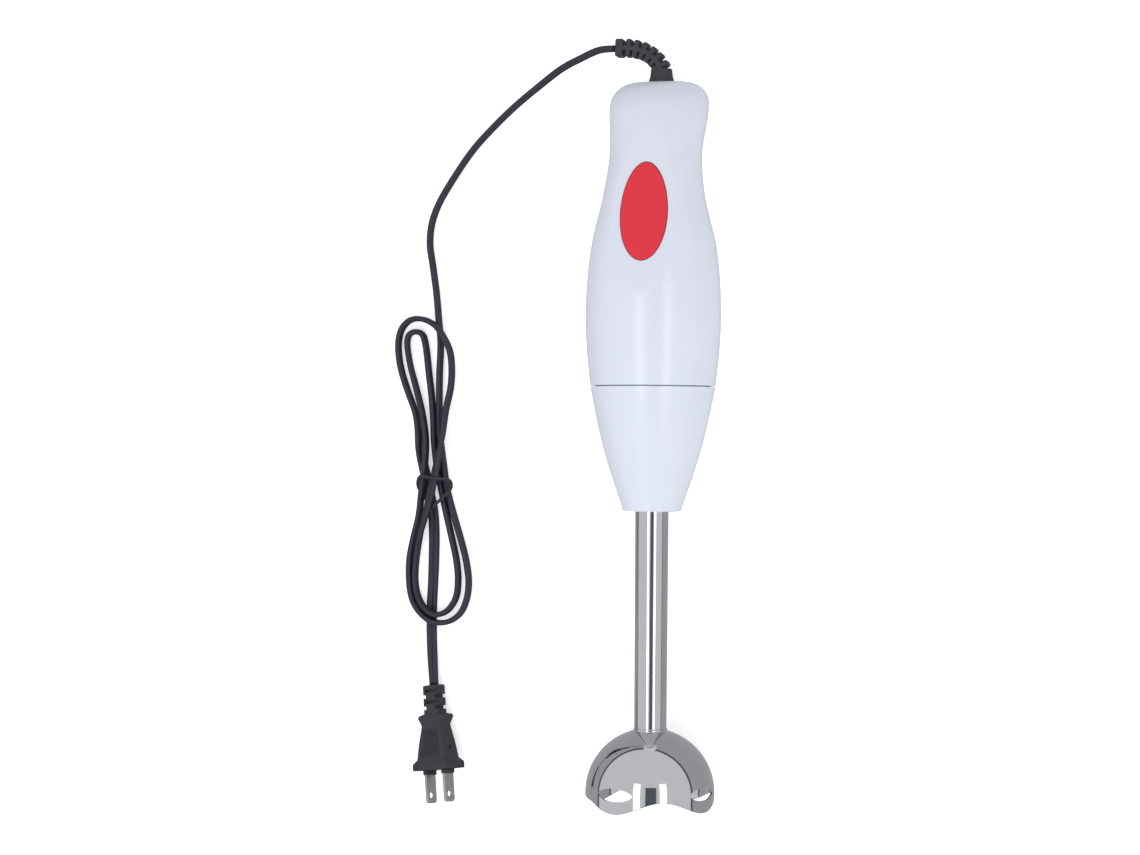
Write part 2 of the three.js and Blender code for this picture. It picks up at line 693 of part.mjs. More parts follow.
function buildBrush(group, name, side) {
  const y = commutatorLowY + commutatorLength / 2;
  const half = brushSide / 2;
  const [near, far] = [commutatorRadius + 2, legInnerX - clearance];
  const tunnel = half + clearance;
  const across = (x0, x1, r) => block([Math.min(side * x0, side * x1), y - r, -r], [Math.max(side * x0, side * x1), y + r, r]);
  const holder = without(solid(across(near, far, tunnel + 1.3)), across(0, farOut, tunnel));
  place(group, `brush_holder_${name}`, surface(holder), 'brass');
  const brushEnd = commutatorRadius + 5.2;
  place(group, `carbon_brush_${name}`, across(commutatorRadius + 0.2, brushEnd, half), 'carbon');
  const coil = spring(1.5, 0.3, brushEnd + 0.1, far - 0.1, 3, 8, 4).rotateY(Math.PI / 2);
  place(group, `brush_spring_${name}`, coil.scale(side, 1, 1).translate(0, y, 0), 'bright');
}

function fan() {
  const [low, high] = [fanLowY, fanLowY + fanHeight];
  const disc = ring(fanRadius, shaftHole, low, low + 1.4, 24);
  const hub = ring(6, shaftHole, low, high);
  const blades = Array.from({ length: fanBlades }, (_, i) => {
    const blade = block([5.5, low + 0.5, -0.6], [fanRadius - 0.5, high, 0.6]);
    return blade.rotateY(2 * Math.PI * i / fanBlades);
  });
  return surface(joined(disc, hub, ...blades));
}

function motorCoupler() {
  const socket = alongY(hexagon(couplerHex + clearance), -farOut, motorShaftLowY - 0.2);
  const body = solid(bar(8, couplerLowY, couplerLowY + 12));
  return surface(without(body, socket, bar(shaftHole, 0, topY)));
}

function buildMotor(group) {
  place(group, 'stator_core', statorCore(), 'iron');
  place(group, 'field_coil_front', fieldCoil(1), 'copper');
  place(group, 'field_coil_rear', fieldCoil(-1), 'copper');
  place(group, 'armature_core', armatureCore(), 'iron');
  const upperLow = stackHighY + clearance;
  place(group, 'winding_upper', ring(windingRadius, shaftHole, upperLow, upperLow + endTurn), 'copper');
  const lowerHigh = stackLowY - clearance;
  place(group, 'winding_lower', ring(windingRadius, shaftHole, lowerHigh - endTurn, lowerHigh), 'copper');
  const segments = ring(commutatorRadius, shaftHole, commutatorLowY, commutatorLowY + commutatorLength, 24);
  place(group, 'commutator', segments, 'copper');
  place(group, 'motor_shaft', bar(motorShaftRadius, motorShaftLowY, motorShaftHighY), 'bright');
  place(group, 'cooling_fan', fan(), 'moulding');
  const upper = bridge(bridgeY, bridgeTopY, stackHighY + clearance, bridgeY + 1, bridgeY, bridgeTopY + bearingLength);
  place(group, 'bearing_bridge_upper', upper, 'moulding');
  const lower = bridge(lowerBridgeY - bridgeThickness, lowerBridgeY, lowerBridgeY - 1, stackLowY - clearance,
    lowerBridgeY - bridgeThickness, lowerBridgeY);
  place(group, 'bearing_bridge_lower', lower, 'moulding');
  const upperBearing = ring(bearingRadius, shaftHole, bridgeTopY, bridgeTopY + bearingLength);
  place(group, 'bearing_upper', upperBearing, 'brass');
  const lowerBearing = ring(bearingRadius, shaftHole, lowerBridgeY - bridgeThickness, lowerBridgeY);
  place(group, 'bearing_lower', lowerBearing, 'brass');
  const cushion = ring(bearingRadius + 5, bearingRadius + 2.2 + clearance, bridgeTopY + clearance, bridgeTopY + 4);
  place(group, 'motor_cushion', cushion, 'rubber');
  for (const [name, side] of [['left', -1], ['right', 1]]) {
    buildBrush(group, name, side);
    const head = bridgeTopY + clearance;
    const bolt = joined(bar(boltRadius, lowerBridgeY - bridgeThickness, head + 0.5, 10), bar(2.2, head, head + 2, 12));
    place(group, `motor_bolt_${name}`, surface(bolt).translate(side * boltX, 0, 0), 'bright');
  }
  place(group, 'motor_coupler', motorCoupler(), 'moulding');
}

// ---- Drive shaft, tube, bell and blade ----------------------------------------------------------
const couplerHex = 5.2;
const couplerLowY = 8;
const nutY = bladeY - 3.6;
const tubeBottomY = bellTopY + 1;
const sealHeight = 3;

function hexagon(radius) {
  const corners = Array.from({ length: 6 }, (_, i) => {
    const angle = Math.PI * i / 3;
    return [radius * Math.cos(angle), radius * Math.sin(angle)];
  });
  return outline(corners);
}

function shaftTube() {
  const profile = [
    [tubeTopRadius - tubeWall, tubeTopY], [tubeBottomRadius - tubeWall, tubeBottomY],
    [tubeBottomRadius, tubeBottomY], [tubeTopRadius, noseEndY], [tubeTopRadius, tubeTopY],
    [tubeTopRadius - tubeWall, tubeTopY],
  ];
  return new THREE.LatheGeometry(profile.map(([r, y]) => new THREE.Vector2(r, y)), 32);
}

function bladeGuard() {
  const centreY = bellTopY + 0.8 - bellDomeHeight;
  const neck = tubeBottomRadius;
  const steps = 7;
  const shell = (radius, height) => {
    const first = Math.acos(Math.min(1, (neck + 0.4) / radius));
    return Array.from({ length: steps + 1 }, (_, i) => {
      const angle = first * (1 - i / steps);
      return [radius * Math.cos(angle), centreY + height * Math.sin(angle)];
    });
  };
  const outer = shell(bellRadius, bellDomeHeight);
  const inner = shell(bellRadius - bellWall, bellDomeHeight - bellWall).reverse();
  const seat = driveShaftRadius + 0.5;
  const profile = [
    [seat, tubeBottomY - clearance], [neck + 0.4, tubeBottomY - clearance], ...outer,
    [bellRadius, lobeY], [bellRadius - bellWall, lobeY], ...inner,
    [seat, inner[inner.length - 1][1] - 0.6], [seat, tubeBottomY - clearance],
  ];
  const body = solid(new THREE.LatheGeometry(profile.map(([r, y]) => new THREE.Vector2(r, y)), 32));
  const depth = archY - lobeY;
  const archRadius = (archHalfWidth ** 2 + depth ** 2) / (2 * depth);
  const cutters = [];
  for (let i = 0; i < bellSides / 2; i++) {
    const lobe = THREE.MathUtils.degToRad(lobeAzimuth + i * 360 / bellSides);
    const arch = lobe + Math.PI / bellSides;
    cutters.push(post(archRadius, -farOut, farOut, 0, archY - archRadius, 28).rotateY(arch));
    const window = new THREE.Shape();
    window.absellipse(0, windowY, windowHalfWidth, windowHalfHeight, 0, 2 * Math.PI);
    cutters.push(alongZ(window, -farOut, farOut, 8).rotateY(lobe));
  }
  return surface(without(body, ...cutters));
}

function blade() {
  const hub = ring(5, driveShaftRadius + clearance, bladeY - 0.6, bladeY + 0.6, 14);
  const wings = [0, Math.PI].map((turn) => {
    const wing = block([4, -0.6, -4], [bladeRadius, 0.6, 3]).rotateX(0.28);
    return wing.rotateY(turn).translate(0, bladeY, 0);
  });
  return surface(without(joined(hub, ...wings), bar(driveShaftRadius + clearance, bladeY - 5, bladeY + 5)));
}

function buildDrive(group) {
  place(group, 'shaft_tube', shaftTube(), 'steel');
  const collar = ring(socketRadius + sleeveWall + 1, socketRadius, tubeTopY - 5, tubeTopY - 1, 24);
  place(group, 'tube_collar', collar, 'brass');
  const boreHole = driveShaftRadius + clearance;
  const upperRadius = tubeTopRadius - tubeWall - 2 * clearance;
  place(group, 'bush_upper', ring(upperRadius, boreHole, tubeTopY - 11, tubeTopY - 1), 'brass');
  const lowerRadius = tubeBottomRadius - tubeWall - clearance;
  place(group, 'bush_lower', ring(lowerRadius, boreHole, tubeBottomY + 1, tubeBottomY + 12), 'brass');
  const sealTop = bellTopY - bellWall - 1.2;
  place(group, 'shaft_seal', ring(6, boreHole, sealTop - sealHeight, sealTop), 'rubber');
  const shaft = bar(driveShaftRadius, nutY - 1.5, couplerLowY + 5.4);
  place(group, 'drive_shaft', shaft, 'bright');
  const male = solid(alongY(hexagon(couplerHex), couplerLowY + 0.5, couplerLowY + 5.4));
  place(group, 'shaft_coupler', surface(without(male, bar(boreHole, 0, topY))), 'moulding');
  place(group, 'blade_guard', bladeGuard(), 'steel');
  place(group, 'blade', blade(), 'steel');
  const nut = solid(alongY(hexagon(4.6), nutY, bladeY - 0.6 - clearance));
  place(group, 'blade_nut', surface(without(nut, bar(boreHole, nutY - 5, 0))), 'bright');
}

// ---- Mains cord on the table --------------------------------------------------------------------
// The route of the free lead from the strain relief to the hank, chosen by hand, on the table.
const leadRoute = [
  [-23, 194.7, 17.4], [-31.5, 194.2, 16.5], [-41.6, 190.6, 14], [-52, 185.8, 11], [-64.6, 178, 7.5],
  [-77, 169.2, 4.6], [-89.2, 158.7, 3.1], [-99.1, 148, 2.8], [-108, 135.7, 2.8], [-115.9, 122.4, 2.8],
  [-119.8, 111.9, 2.8], [-120.9, 101.4, 2.8], [-119.6, 90.8, 2.8], [-117.5, 77.4, 2.8], [-116, 64.8, 2.8],
];
const tailRoute = [[-118.3, -89.3, 2.8], [-118.2, -96, 2.8], [-117.9, -104, 3], [-117.4, -112, 3.9], [-116.75, -118.9, 5]];
// Outline of the hank, round at both ends and drawn in where the tie holds it.
const hankOutline = [
  [-122.5, 64.2], [-113, 62.6], [-107.6, 53], [-107.4, 38], [-109.4, 14], [-109.8, -8], [-109.8, -38],
  [-103, -54], [-99.2, -68], [-103.5, -82], [-114.5, -88.8], [-125.4, -84], [-130.6, -68], [-127, -48],
  [-121.4, -38], [-121.4, -8], [-126.5, 8], [-133.5, 28], [-137.2, 46], [-133, 58.5],
];
const hankTopZ = 11.5;
const tieHighY = -16.5;
const tieLowY = -30.5;
const tieX = -115.6;
const tieHalfX = 7.2;
const tieTopZ = 8.4;

function hank() {
  const points = hankOutline.map(([x, y]) => new THREE.Vector3(x, y, 0));
  const curve = new THREE.CatmullRomCurve3(points, true, 'centripetal');
  const shape = outline(curve.getPoints(48).slice(0, -1).map((point) => [point.x, point.y]));
  const body = solid(alongZ(shape, 0.1, hankTopZ));
  const zone = [[-farOut + tieX, tieLowY - clearance, -1], [farOut + tieX, tieHighY + clearance, farOut]];
  const reach = tieHalfX - tieThickness - clearance;
  const core = block([tieX - reach, tieLowY - 2, tieThickness + 2 * clearance],
    [tieX + reach, tieHighY + 2, tieTopZ - tieThickness - clearance]);
  return surface(without(body, block(...zone)).add(body.intersect(solid(core))));
}

function tie() {
  const half = (tieTopZ - 0.1) / 2;
  const shape = roundedOutline(tieHalfX, half, 1.6);
  shape.holes.push(roundedOutline(tieHalfX - tieThickness, half - tieThickness, 0.5));
  return alongY(shape, tieLowY, tieHighY, 3).translate(tieX, 0, 0.1 + half);
}

function buildCord(group) {
  const curve = (points) => points.map((point) => new THREE.Vector3(...point));
  place(group, 'cord_lead', swept(curve(leadRoute), cordWidth / 2, 8, 26), 'cord');
  place(group, 'cord_hank', hank(), 'cord');
  place(group, 'cord_tie', tie(), 'cord');
  place(group, 'cord_tail', swept(curve(tailRoute), cordWidth / 2, 8, 6), 'cord');
}

// The two-blade plug, along its own -Y from the cord's entry.
const bladeSpacing = 12.7;
const bladeWidth = 6.35;
const bladeThickness = 1.5;
const bladeLength = 16;
const plugLength = 42;

function buildPlug(group) {
  const stations = [
    [0, 4.7, 3.2], [-14.5, 4.8, 3.3], [-15.2, 8.2, 4.4], [-17.4, 8.7, 4.7], [-21, 6.6, 4], [-26, 7.8, 4.4],
    [-34, 9.2, 5.2], [-37.6, 9.5, 5.4], [-39.4, 12, 6.7], [-plugLength, 12, 6.7],
  ];
  const body = loft(stations.map(([y, halfX, halfZ]) => section(y, halfX, halfZ, -halfZ, 4, 24)));
  place(group, 'plug_body', body, 'rubber');
  for (const [name, side] of [['plug_blade_left', -1], ['plug_blade_right', 1]]) {
    const x = side * bladeSpacing / 2;
    const half = bladeWidth / 2;
    const end = -plugLength - clearance - bladeLength;
    const pin = block([x - bladeThickness / 2, end, -half], [x + bladeThickness / 2, -plugLength - clearance, half]);
    const hole = bar(1.5, -5, 5, 12).rotateZ(Math.PI / 2).translate(x, end + 4, 0);
    place(group, name, surface(without(solid(pin), hole)), 'bright');
  }
  group.position.set(-116.7, -119.3, 5.1);
  group.rotation.set(THREE.MathUtils.degToRad(-8.6), THREE.MathUtils.degToRad(-28),
    THREE.MathUtils.degToRad(6.7), 'ZXY');
}

// ---- Assembly -----------------------------------------------------------------------------------
function assemble() {
  const table = new THREE.Group();
  table.position.y = -(topY + lobeY) / 2;
  const blender = new THREE.Group();
  blender.position.z = bellyRadius;
  table.add(blender);
  const body = housingBody();
  place(blender, 'front_shell', frontShell(body), 'shell');
  place(blender, 'rear_shell', rearShell(body), 'shell');
  place(blender, 'nose_cone', noseCone(), 'shell');
  place(blender, 'power_button', powerButton(), 'red');
  buildSwitch(blender);
  buildBoard(blender);
  buildCordEntry(blender);
  buildHousingScrews(blender);
  buildMotor(blender);
  buildDrive(blender);
  buildCord(table);
  const plug = new THREE.Group();
  buildPlug(plug);
  table.add(plug);
  return table;
}

export default assemble();
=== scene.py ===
"""An immersion blender that lies on its back, button up, with its mains cord tied in a hank beside it."""

import math

import bmesh
import bpy
from mathutils import Matrix, Vector


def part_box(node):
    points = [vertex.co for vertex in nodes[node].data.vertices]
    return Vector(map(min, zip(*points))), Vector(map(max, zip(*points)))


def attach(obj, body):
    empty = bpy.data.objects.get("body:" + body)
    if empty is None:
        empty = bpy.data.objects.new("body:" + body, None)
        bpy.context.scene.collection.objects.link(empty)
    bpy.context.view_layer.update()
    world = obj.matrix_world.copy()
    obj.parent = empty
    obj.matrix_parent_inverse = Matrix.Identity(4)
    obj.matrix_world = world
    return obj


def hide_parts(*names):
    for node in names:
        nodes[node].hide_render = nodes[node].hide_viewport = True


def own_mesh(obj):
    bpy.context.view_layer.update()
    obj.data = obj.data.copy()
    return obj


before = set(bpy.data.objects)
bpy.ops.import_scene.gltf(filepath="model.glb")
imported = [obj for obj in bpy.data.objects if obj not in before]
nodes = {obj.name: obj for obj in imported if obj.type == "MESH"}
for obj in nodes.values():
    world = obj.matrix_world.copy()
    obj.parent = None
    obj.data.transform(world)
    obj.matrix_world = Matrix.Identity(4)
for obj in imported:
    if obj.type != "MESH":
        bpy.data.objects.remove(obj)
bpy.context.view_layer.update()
mm = 0.001

# ---- Table, studio light and camera --------------------------------------------------------------
# A white table top under a pale dome of light, with two narrow strip lamps over the blender. The
# camera stands above the middle of the blender, a little to its right.
axis_z = sum(corner.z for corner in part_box("shaft_tube")) / 2     # height of the long axis
look = Vector((-math.sin(math.radians(13.9)), 0, -math.cos(math.radians(13.9))))
tilt = math.radians(0.43)
level_right = Vector((-look.z, 0, look.x))
right = level_right * math.cos(tilt) + Vector((0, math.sin(tilt), 0))
upward = level_right * -math.sin(tilt) + Vector((0, math.cos(tilt), 0))
camera = bpy.data.objects.new("camera", bpy.data.cameras.new("camera"))
camera.data.lens = 79.2
camera.data.sensor_width = 36
camera.matrix_world = Matrix((
    (right.x, upward.x, -look.x, 0.24995),
    (right.y, upward.y, -look.y, 0.00725),
    (right.z, upward.z, -look.z, 1.20674),
    (0, 0, 0, 1),
))
bpy.context.scene.collection.objects.link(camera)
bpy.context.scene.camera = camera


class Signal:
    """An output of a material's node that takes part in sums."""

    def __init__(self, finish, socket):
        self.finish, self.socket = finish, socket

    def _with(self, operation, first, second):
        settings = {"operation": operation}
        return self.finish.node("ShaderNodeMath", settings, {0: first, 1: second})

    def __add__(self, other):
        return self._with("ADD", self, other)

    def __sub__(self, other):
        return self._with("SUBTRACT", self, other)

    def __rsub__(self, other):
        return self._with("SUBTRACT", other, self)

    def __mul__(self, other):
        return self._with("MULTIPLY", self, other)

    def above(self, level):
        return self._with("GREATER_THAN", self, level)

    def wave(self):
        return self._with("SINE", self, 0)

    def size(self):
        return self._with("ABSOLUTE", self, 0)

    __radd__ = __add__
    __rmul__ = __mul__


class Finish:
    """A material, or the sky, built up node by node."""

    def __init__(self, name, owner=None):
        self.material = owner or bpy.data.materials.new(name)
        self.material.use_nodes = True
        self.tree = self.material.node_tree
        self.shader = self.tree.nodes.get("Principled BSDF")

    def connect(self, socket, value):
        if isinstance(value, Signal):
            self.tree.links.new(value.socket, socket)
        elif isinstance(value, (tuple, Vector)) and socket.type == "RGBA":
            socket.default_value = (*value[:3], 1)
        else:
            socket.default_value = value

    def node(self, kind, settings, inputs, output=0):
        made = self.tree.nodes.new(kind)
        for name, value in settings.items():
            if name == "stops":
                ramp = made.color_ramp
                while len(ramp.elements) < len(value):
                    ramp.elements.new(1)
                for element, (place, colour) in zip(ramp.elements, value):
                    element.position = place
                    element.color = (*colour, 1)
            else:
                setattr(made, name, value)
        for name, value in inputs.items():
            self.connect(made.inputs[name], value)
        return Signal(self, made.outputs[output])

    def place(self, source="Object", scale=(1, 1, 1), turn=(0, 0, 0), centre=(0, 0, 0)):
        start = self.node("ShaderNodeTexCoord", {}, {}, source)
        moved = {"Vector": start, "Location": centre, "Rotation": turn, "Scale": scale}
        return self.node("ShaderNodeMapping", {"vector_type": "POINT"}, moved)

    def along(self, where, part):
        return self.node("ShaderNodeSeparateXYZ", {}, {"Vector": where}, part)

    def grain(self, where, scale, detail=2, roughness=0.5):
        inputs = {"Vector": where, "Scale": scale, "Detail": detail, "Roughness": roughness}
        return self.node("ShaderNodeTexNoise", {}, inputs, "Fac")

    def between(self, share, first, second):
        mixed = {0: share, 6: first, 7: second}
        return self.node("ShaderNodeMix", {"data_type": "RGBA"}, mixed, 2)

    def bump(self, height, depth, strength=1.0):
        inputs = {"Height": height, "Distance": depth, "Strength": strength}
        return self.node("ShaderNodeBump", {}, inputs, "Normal")

    def surface(self, **sockets):
        for name, value in sockets.items():
            self.connect(self.shader.inputs[name.replace("_", " ")], value)
        return self.material


bpy.ops.object.select_all(action="DESELECT")
bpy.ops.mesh.primitive_plane_add(size=6, location=(0, 0, 0))
table = bpy.context.object
table.name = "table_top"
table.visible_glossy = False
table_finish = Finish("white_table")
speckle = table_finish.grain(table_finish.place(), 40)
table.data.materials.append(table_finish.surface(
    Base_Color=table_finish.between(speckle, (0.86, 0.86, 0.86), (0.9, 0.9, 0.9)),
    Roughness=0.9,
    Specular_IOR_Level=0.0,
    Emission_Color=(1.0, 1.0, 1.0),
    Emission_Strength=0.45,
))

sky = Finish("sky", bpy.data.worlds.new("studio"))
bpy.context.scene.world = sky.material
way = sky.node("ShaderNodeTexCoord", {}, {}, "Generated")
height = sky.along(way, "Z")
side = sky.along(way, "X")
lean = side * look.z - height * look.x             # sideways of the camera's line of sight
dark_gap = (lean.size() * -1 + 0.17).above(0) * height.above(0.5) * (1 - sky.along(way, "Y").above(0.27))
below = 1 - height.above(-0.07)
horizon = height.above(-0.07) - height.above(0.0)
ceiling = sky.between(below, (0.74, 0.75, 0.77), (0.42, 0.43, 0.45))
ceiling = sky.between(horizon, ceiling, (0.10, 0.10, 0.11))
ceiling = sky.between(dark_gap, ceiling, (0.11, 0.12, 0.145))
backdrop = sky.tree.nodes["Background"]
sky.connect(backdrop.inputs["Color"], ceiling)
backdrop.inputs["Strength"].default_value = 1.0

strip_reach = 1.25                                 # from the blender to the lamps
strip_width, strip_length, strip_power = 0.25, 0.80, 1.45
for name, angle in (("strip_left", -25), ("strip_right", 22)):
    lamp = bpy.data.objects.new(name, bpy.data.lights.new(name, "AREA"))
    lamp.data.shape = "RECTANGLE"
    lamp.data.size, lamp.data.size_y = strip_width, strip_length
    lamp.data.energy = strip_power
    lamp.data.color = (1.0, 0.99, 0.98)
    turn = math.radians(angle)
    away = -look * math.cos(turn) + level_right * math.sin(turn)
    lamp.location = Vector((0, -0.08, axis_z)) + away * strip_reach
    lamp.rotation_euler = (0, math.atan2(away.x, away.z), 0)
    bpy.context.scene.collection.objects.link(lamp)

cloth_turn, cloth_drop = math.radians(15), 0.45    # left of the camera, and towards the bell
cloth_size, cloth_reach, cloth_power = 1.6, 1.6, 14
cloth_way = -look * math.cos(cloth_turn) - level_right * math.sin(cloth_turn)
cloth_way = (cloth_way - Vector((0, cloth_drop, 0))).normalized()
cloth = bpy.data.objects.new("overhead_cloth", bpy.data.lights.new("overhead_cloth", "AREA"))
cloth.data.shape = "SQUARE"
cloth.data.size = cloth_size
cloth.data.energy = cloth_power
cloth.location = Vector((0, 0, axis_z)) + cloth_way * cloth_reach
cloth.rotation_mode = "QUATERNION"
cloth.rotation_quaternion = cloth_way.to_track_quat("Z", "Y")
cloth.visible_glossy = False
bpy.context.scene.collection.objects.link(cloth)
bpy.context.scene.view_settings.view_transform = "Standard"

# ---- Mains cord ----------------------------------------------------------------------------------
# Flat twin lead in soft black PVC, 5.4 x 2.7 mm with a groove between its two wires. It leaves the
# strain relief, runs down the table, is wound twice round in a hank, and ends in the plug.
wire_round = 1.35 * mm
route_places = [   # x, y and height in mm, and how far the flat lead is rolled on its edge, in degrees
    # down the table to the hank
    (-23, 191.75, 17.4, 84), (-31.5, 191.25, 16.5, 84), (-41.5, 187.75, 14, 85), (-52, 183.25, 11, 86),
    (-64.5, 175.25, 7.5, 88), (-77, 166.25, 4.8, 90), (-89, 155.75, 3.2, 90), (-99, 145.25, 2.8, 90),
    (-108, 132.75, 2.8, 90), (-116, 119.75, 2.8, 90), (-120, 109.25, 2.8, 90), (-121, 98.75, 2.8, 90),
    (-119.5, 88.25, 2.8, 90), (-117.5, 74.75, 2.8, 90),
    # right side of the hank, standing on edge, and round its lower fold
    (-116, 59.75, 2.8, 90), (-115, 48.25, 2.8, 90), (-115.5, 33.25, 2.8, 90), (-115.5, 18.25, 2.8, 90),
    (-115, 3.25, 2.8, 90), (-113, -11.75, 2.8, 90), (-111, -24.25, 2.8, 90), (-108, -35.25, 2.8, 90),
    (-104, -48.25, 2.8, 90), (-101, -59.25, 2.8, 90), (-99.5, -70.25, 2.8, 90), (-100.5, -79.25, 3.2, 90),
    (-103.5, -86.25, 4.6, 90), (-109.5, -90.25, 5.9, 90), (-117, -90.25, 6.6, 90),
    (-123.5, -86.25, 5.6, 90), (-128.5, -79.75, 3.6, 90), (-130.5, -70.75, 2.8, 90),
    (-130.5, -59.75, 2.8, 90), (-128.5, -48.75, 2.8, 90), (-125.5, -37.25, 3.6, 90),
    # back up to the inner upper fold
    (-123.5, -24.75, 5.7, 90), (-122, -12.25, 5.8, 90), (-121.5, 0.25, 5.8, 90), (-123.5, 12.75, 5, 90),
    (-127, 25.25, 3.8, 88), (-130.5, 36.75, 3, 85), (-132, 44.25, 2.9, 84), (-132.5, 49.25, 2.9, 84),
    (-131.5, 53.25, 2.9, 86), (-128, 54.75, 2.9, 88), (-124.5, 53.25, 2.9, 90), (-123, 48.75, 2.8, 90),
    (-122, 42.25, 2.8, 90), (-121, 33.75, 2.8, 90), (-119.5, 22.25, 2.8, 90), (-118.5, 10.25, 2.8, 90),
    (-118, -0.75, 2.8, 90),
    # down again inside the first turn
    (-116.5, -12.75, 2.8, 90), (-114, -24.75, 2.8, 90), (-111.5, -35.75, 2.8, 90),
    (-108.5, -48.25, 2.8, 90), (-106, -59.25, 2.8, 90), (-105, -69.25, 2.8, 90), (-106, -78.25, 3.2, 90),
    (-110, -84.75, 4.8, 90), (-116, -86.75, 6.4, 90), (-122, -83.25, 5.4, 90), (-126, -77.25, 3.4, 90),
    (-127.5, -69.75, 2.8, 90), (-127, -59.75, 3, 90), (-124.5, -48.75, 5.2, 80), (-121, -37.75, 7.7, 60),
    # back up over the waist, and round the outer upper fold
    (-118, -26.75, 8.9, 40), (-116, -17.25, 8.9, 45), (-114, -6.75, 8.6, 60), (-112, 3.25, 8.3, 80),
    (-111, 14.75, 6.8, 90), (-109, 26.75, 5, 90), (-108.5, 36.75, 5, 90), (-109, 45.25, 7.2, 90),
    (-112, 52.25, 8.7, 90), (-116.5, 57.75, 8, 90), (-123, 60.75, 6, 90), (-130, 60.75, 4.2, 90),
    (-135, 56.75, 3.2, 90), (-137, 50.75, 2.8, 90), (-137, 43.75, 2.8, 90), (-135.5, 35.25, 2.8, 90),
    (-132, 24.75, 2.8, 90), (-128, 14.25, 2.8, 90),
    # under the tie, flat on the table, and on to the plug
    (-126.5, 5.25, 2.8, 85), (-125.5, -2.75, 2.5, 45), (-124, -11.75, 1.8, 5), (-121.5, -22.75, 1.6, 0),
    (-119, -33.75, 1.6, 0), (-118, -44.75, 1.8, 15), (-118, -57.75, 1.8, 15), (-118.5, -71.25, 1.5, 0),
    (-119, -82.75, 1.5, 0), (-119, -93.75, 1.6, 0), (-118.5, -103.75, 2.2, 0), (-117.5, -113.75, 3.6, -15),
    (-116.5, -121.75, 5.1, -28),
]


def smooth_route(places, step):
    """Evenly spaced places along a smooth curve through the given ones; every number is smoothed alike."""
    ends = [2 * places[0] - places[1], *places, 2 * places[-1] - places[-2]]
    dense = []
    for before, here, there, after in zip(ends, ends[1:], ends[2:], ends[3:]):
        for i in range(24):
            t = i / 24
            dense.append(0.5 * (2 * here + (there - before) * t
                                + (2 * before - 5 * here + 4 * there - after) * t ** 2
                                + (3 * here - before - 3 * there + after) * t ** 3))
    dense.append(places[-1])
    gone, marks = 0.0, [0.0]
    for here, there in zip(dense, dense[1:]):
        gone += (there.xyz - here.xyz).length
        marks.append(gone)
    count = max(2, round(gone / step))
    even, k = [], 0
    for i in range(count + 1):
        target = gone * i / count
        while k < len(marks) - 2 and marks[k + 1] < target:
            k += 1
        share = (target - marks[k]) / max(1e-9, marks[k + 1] - marks[k])
        even.append(dense[k].lerp(dense[k + 1], min(1.0, share)))
    return even


def select_only(piece):
    if bpy.context.object and bpy.context.object.mode != "OBJECT":
        bpy.ops.object.mode_set(mode="OBJECT")
    bpy.ops.object.select_all(action="DESELECT")
    piece.select_set(True)
    bpy.context.view_layer.objects.active = piece


def edited(piece, *steps):
    """Runs each step, an edit-mode operator, on the whole mesh of a piece."""
    select_only(piece)
    bpy.ops.object.mode_set(mode="EDIT")
    for step in steps:
        bpy.ops.mesh.select_all(action="SELECT")
        step()
    bpy.ops.object.mode_set(mode="OBJECT")
    return piece


def outward():
    bpy.ops.mesh.normals_make_consistent(inside=False)


def swept(name, route, outline, up=Vector((0, 0, 1))):
    """A closed tube: the outline carried along the route, rolled by each place's fourth number."""
    sides = len(outline)
    corners, faces, lengths, gone = [], [], [], 0.0
    for i, place in enumerate(route):
        before, after = route[max(0, i - 1)].xyz, route[min(len(route) - 1, i + 1)].xyz
        ahead = (after - before).normalized()
        across = ahead.cross(up).normalized()
        over = across.cross(ahead)
        roll = math.radians(place.w)
        wide = across * math.cos(roll) + over * math.sin(roll)
        thin = over * math.cos(roll) - across * math.sin(roll)
        corners += [place.xyz + wide * u + thin * v for u, v in outline]
        gone += (place.xyz - before).length if i else 0
        lengths.append(gone)
    for i in range(len(route) - 1):
        for j in range(sides):
            k = (j + 1) % sides
            faces.append((i * sides + j, i * sides + k, (i + 1) * sides + k, (i + 1) * sides + j))
    faces += [tuple(reversed(range(sides))), tuple(range(len(corners) - sides, len(corners)))]
    mesh = bpy.data.meshes.new(name)
    mesh.from_pydata(corners, [], faces)
    rings = mesh.uv_layers.new(name="UVMap")
    for face in mesh.polygons[:-2]:
        i, j = divmod(face.index, sides)
        for corner, (di, dj) in zip(face.loop_indices, ((0, 0), (0, 1), (1, 1), (1, 0))):
            rings.data[corner].uv = (lengths[i + di], (j + dj) / sides)
    mesh.update()
    piece = bpy.data.objects.new(name, mesh)
    bpy.context.scene.collection.objects.link(piece)
    edited(piece, outward)
    bpy.ops.object.shade_smooth()
    return piece


def outline_of_twin_lead():
    points = []
    for side in (1, -1):
        for i in range(13):
            turn = math.radians(side * (-152 + 304 * i / 12) if side > 0 else 28 + 304 * i / 12)
            points.append((side * wire_round + wire_round * math.cos(turn), wire_round * math.sin(turn)))
    return points


route = smooth_route([Vector((x * mm, y * mm, z * mm, roll)) for x, y, z, roll in route_places], 1.4 * mm)
cord = swept("mains_cord", route, outline_of_twin_lead())

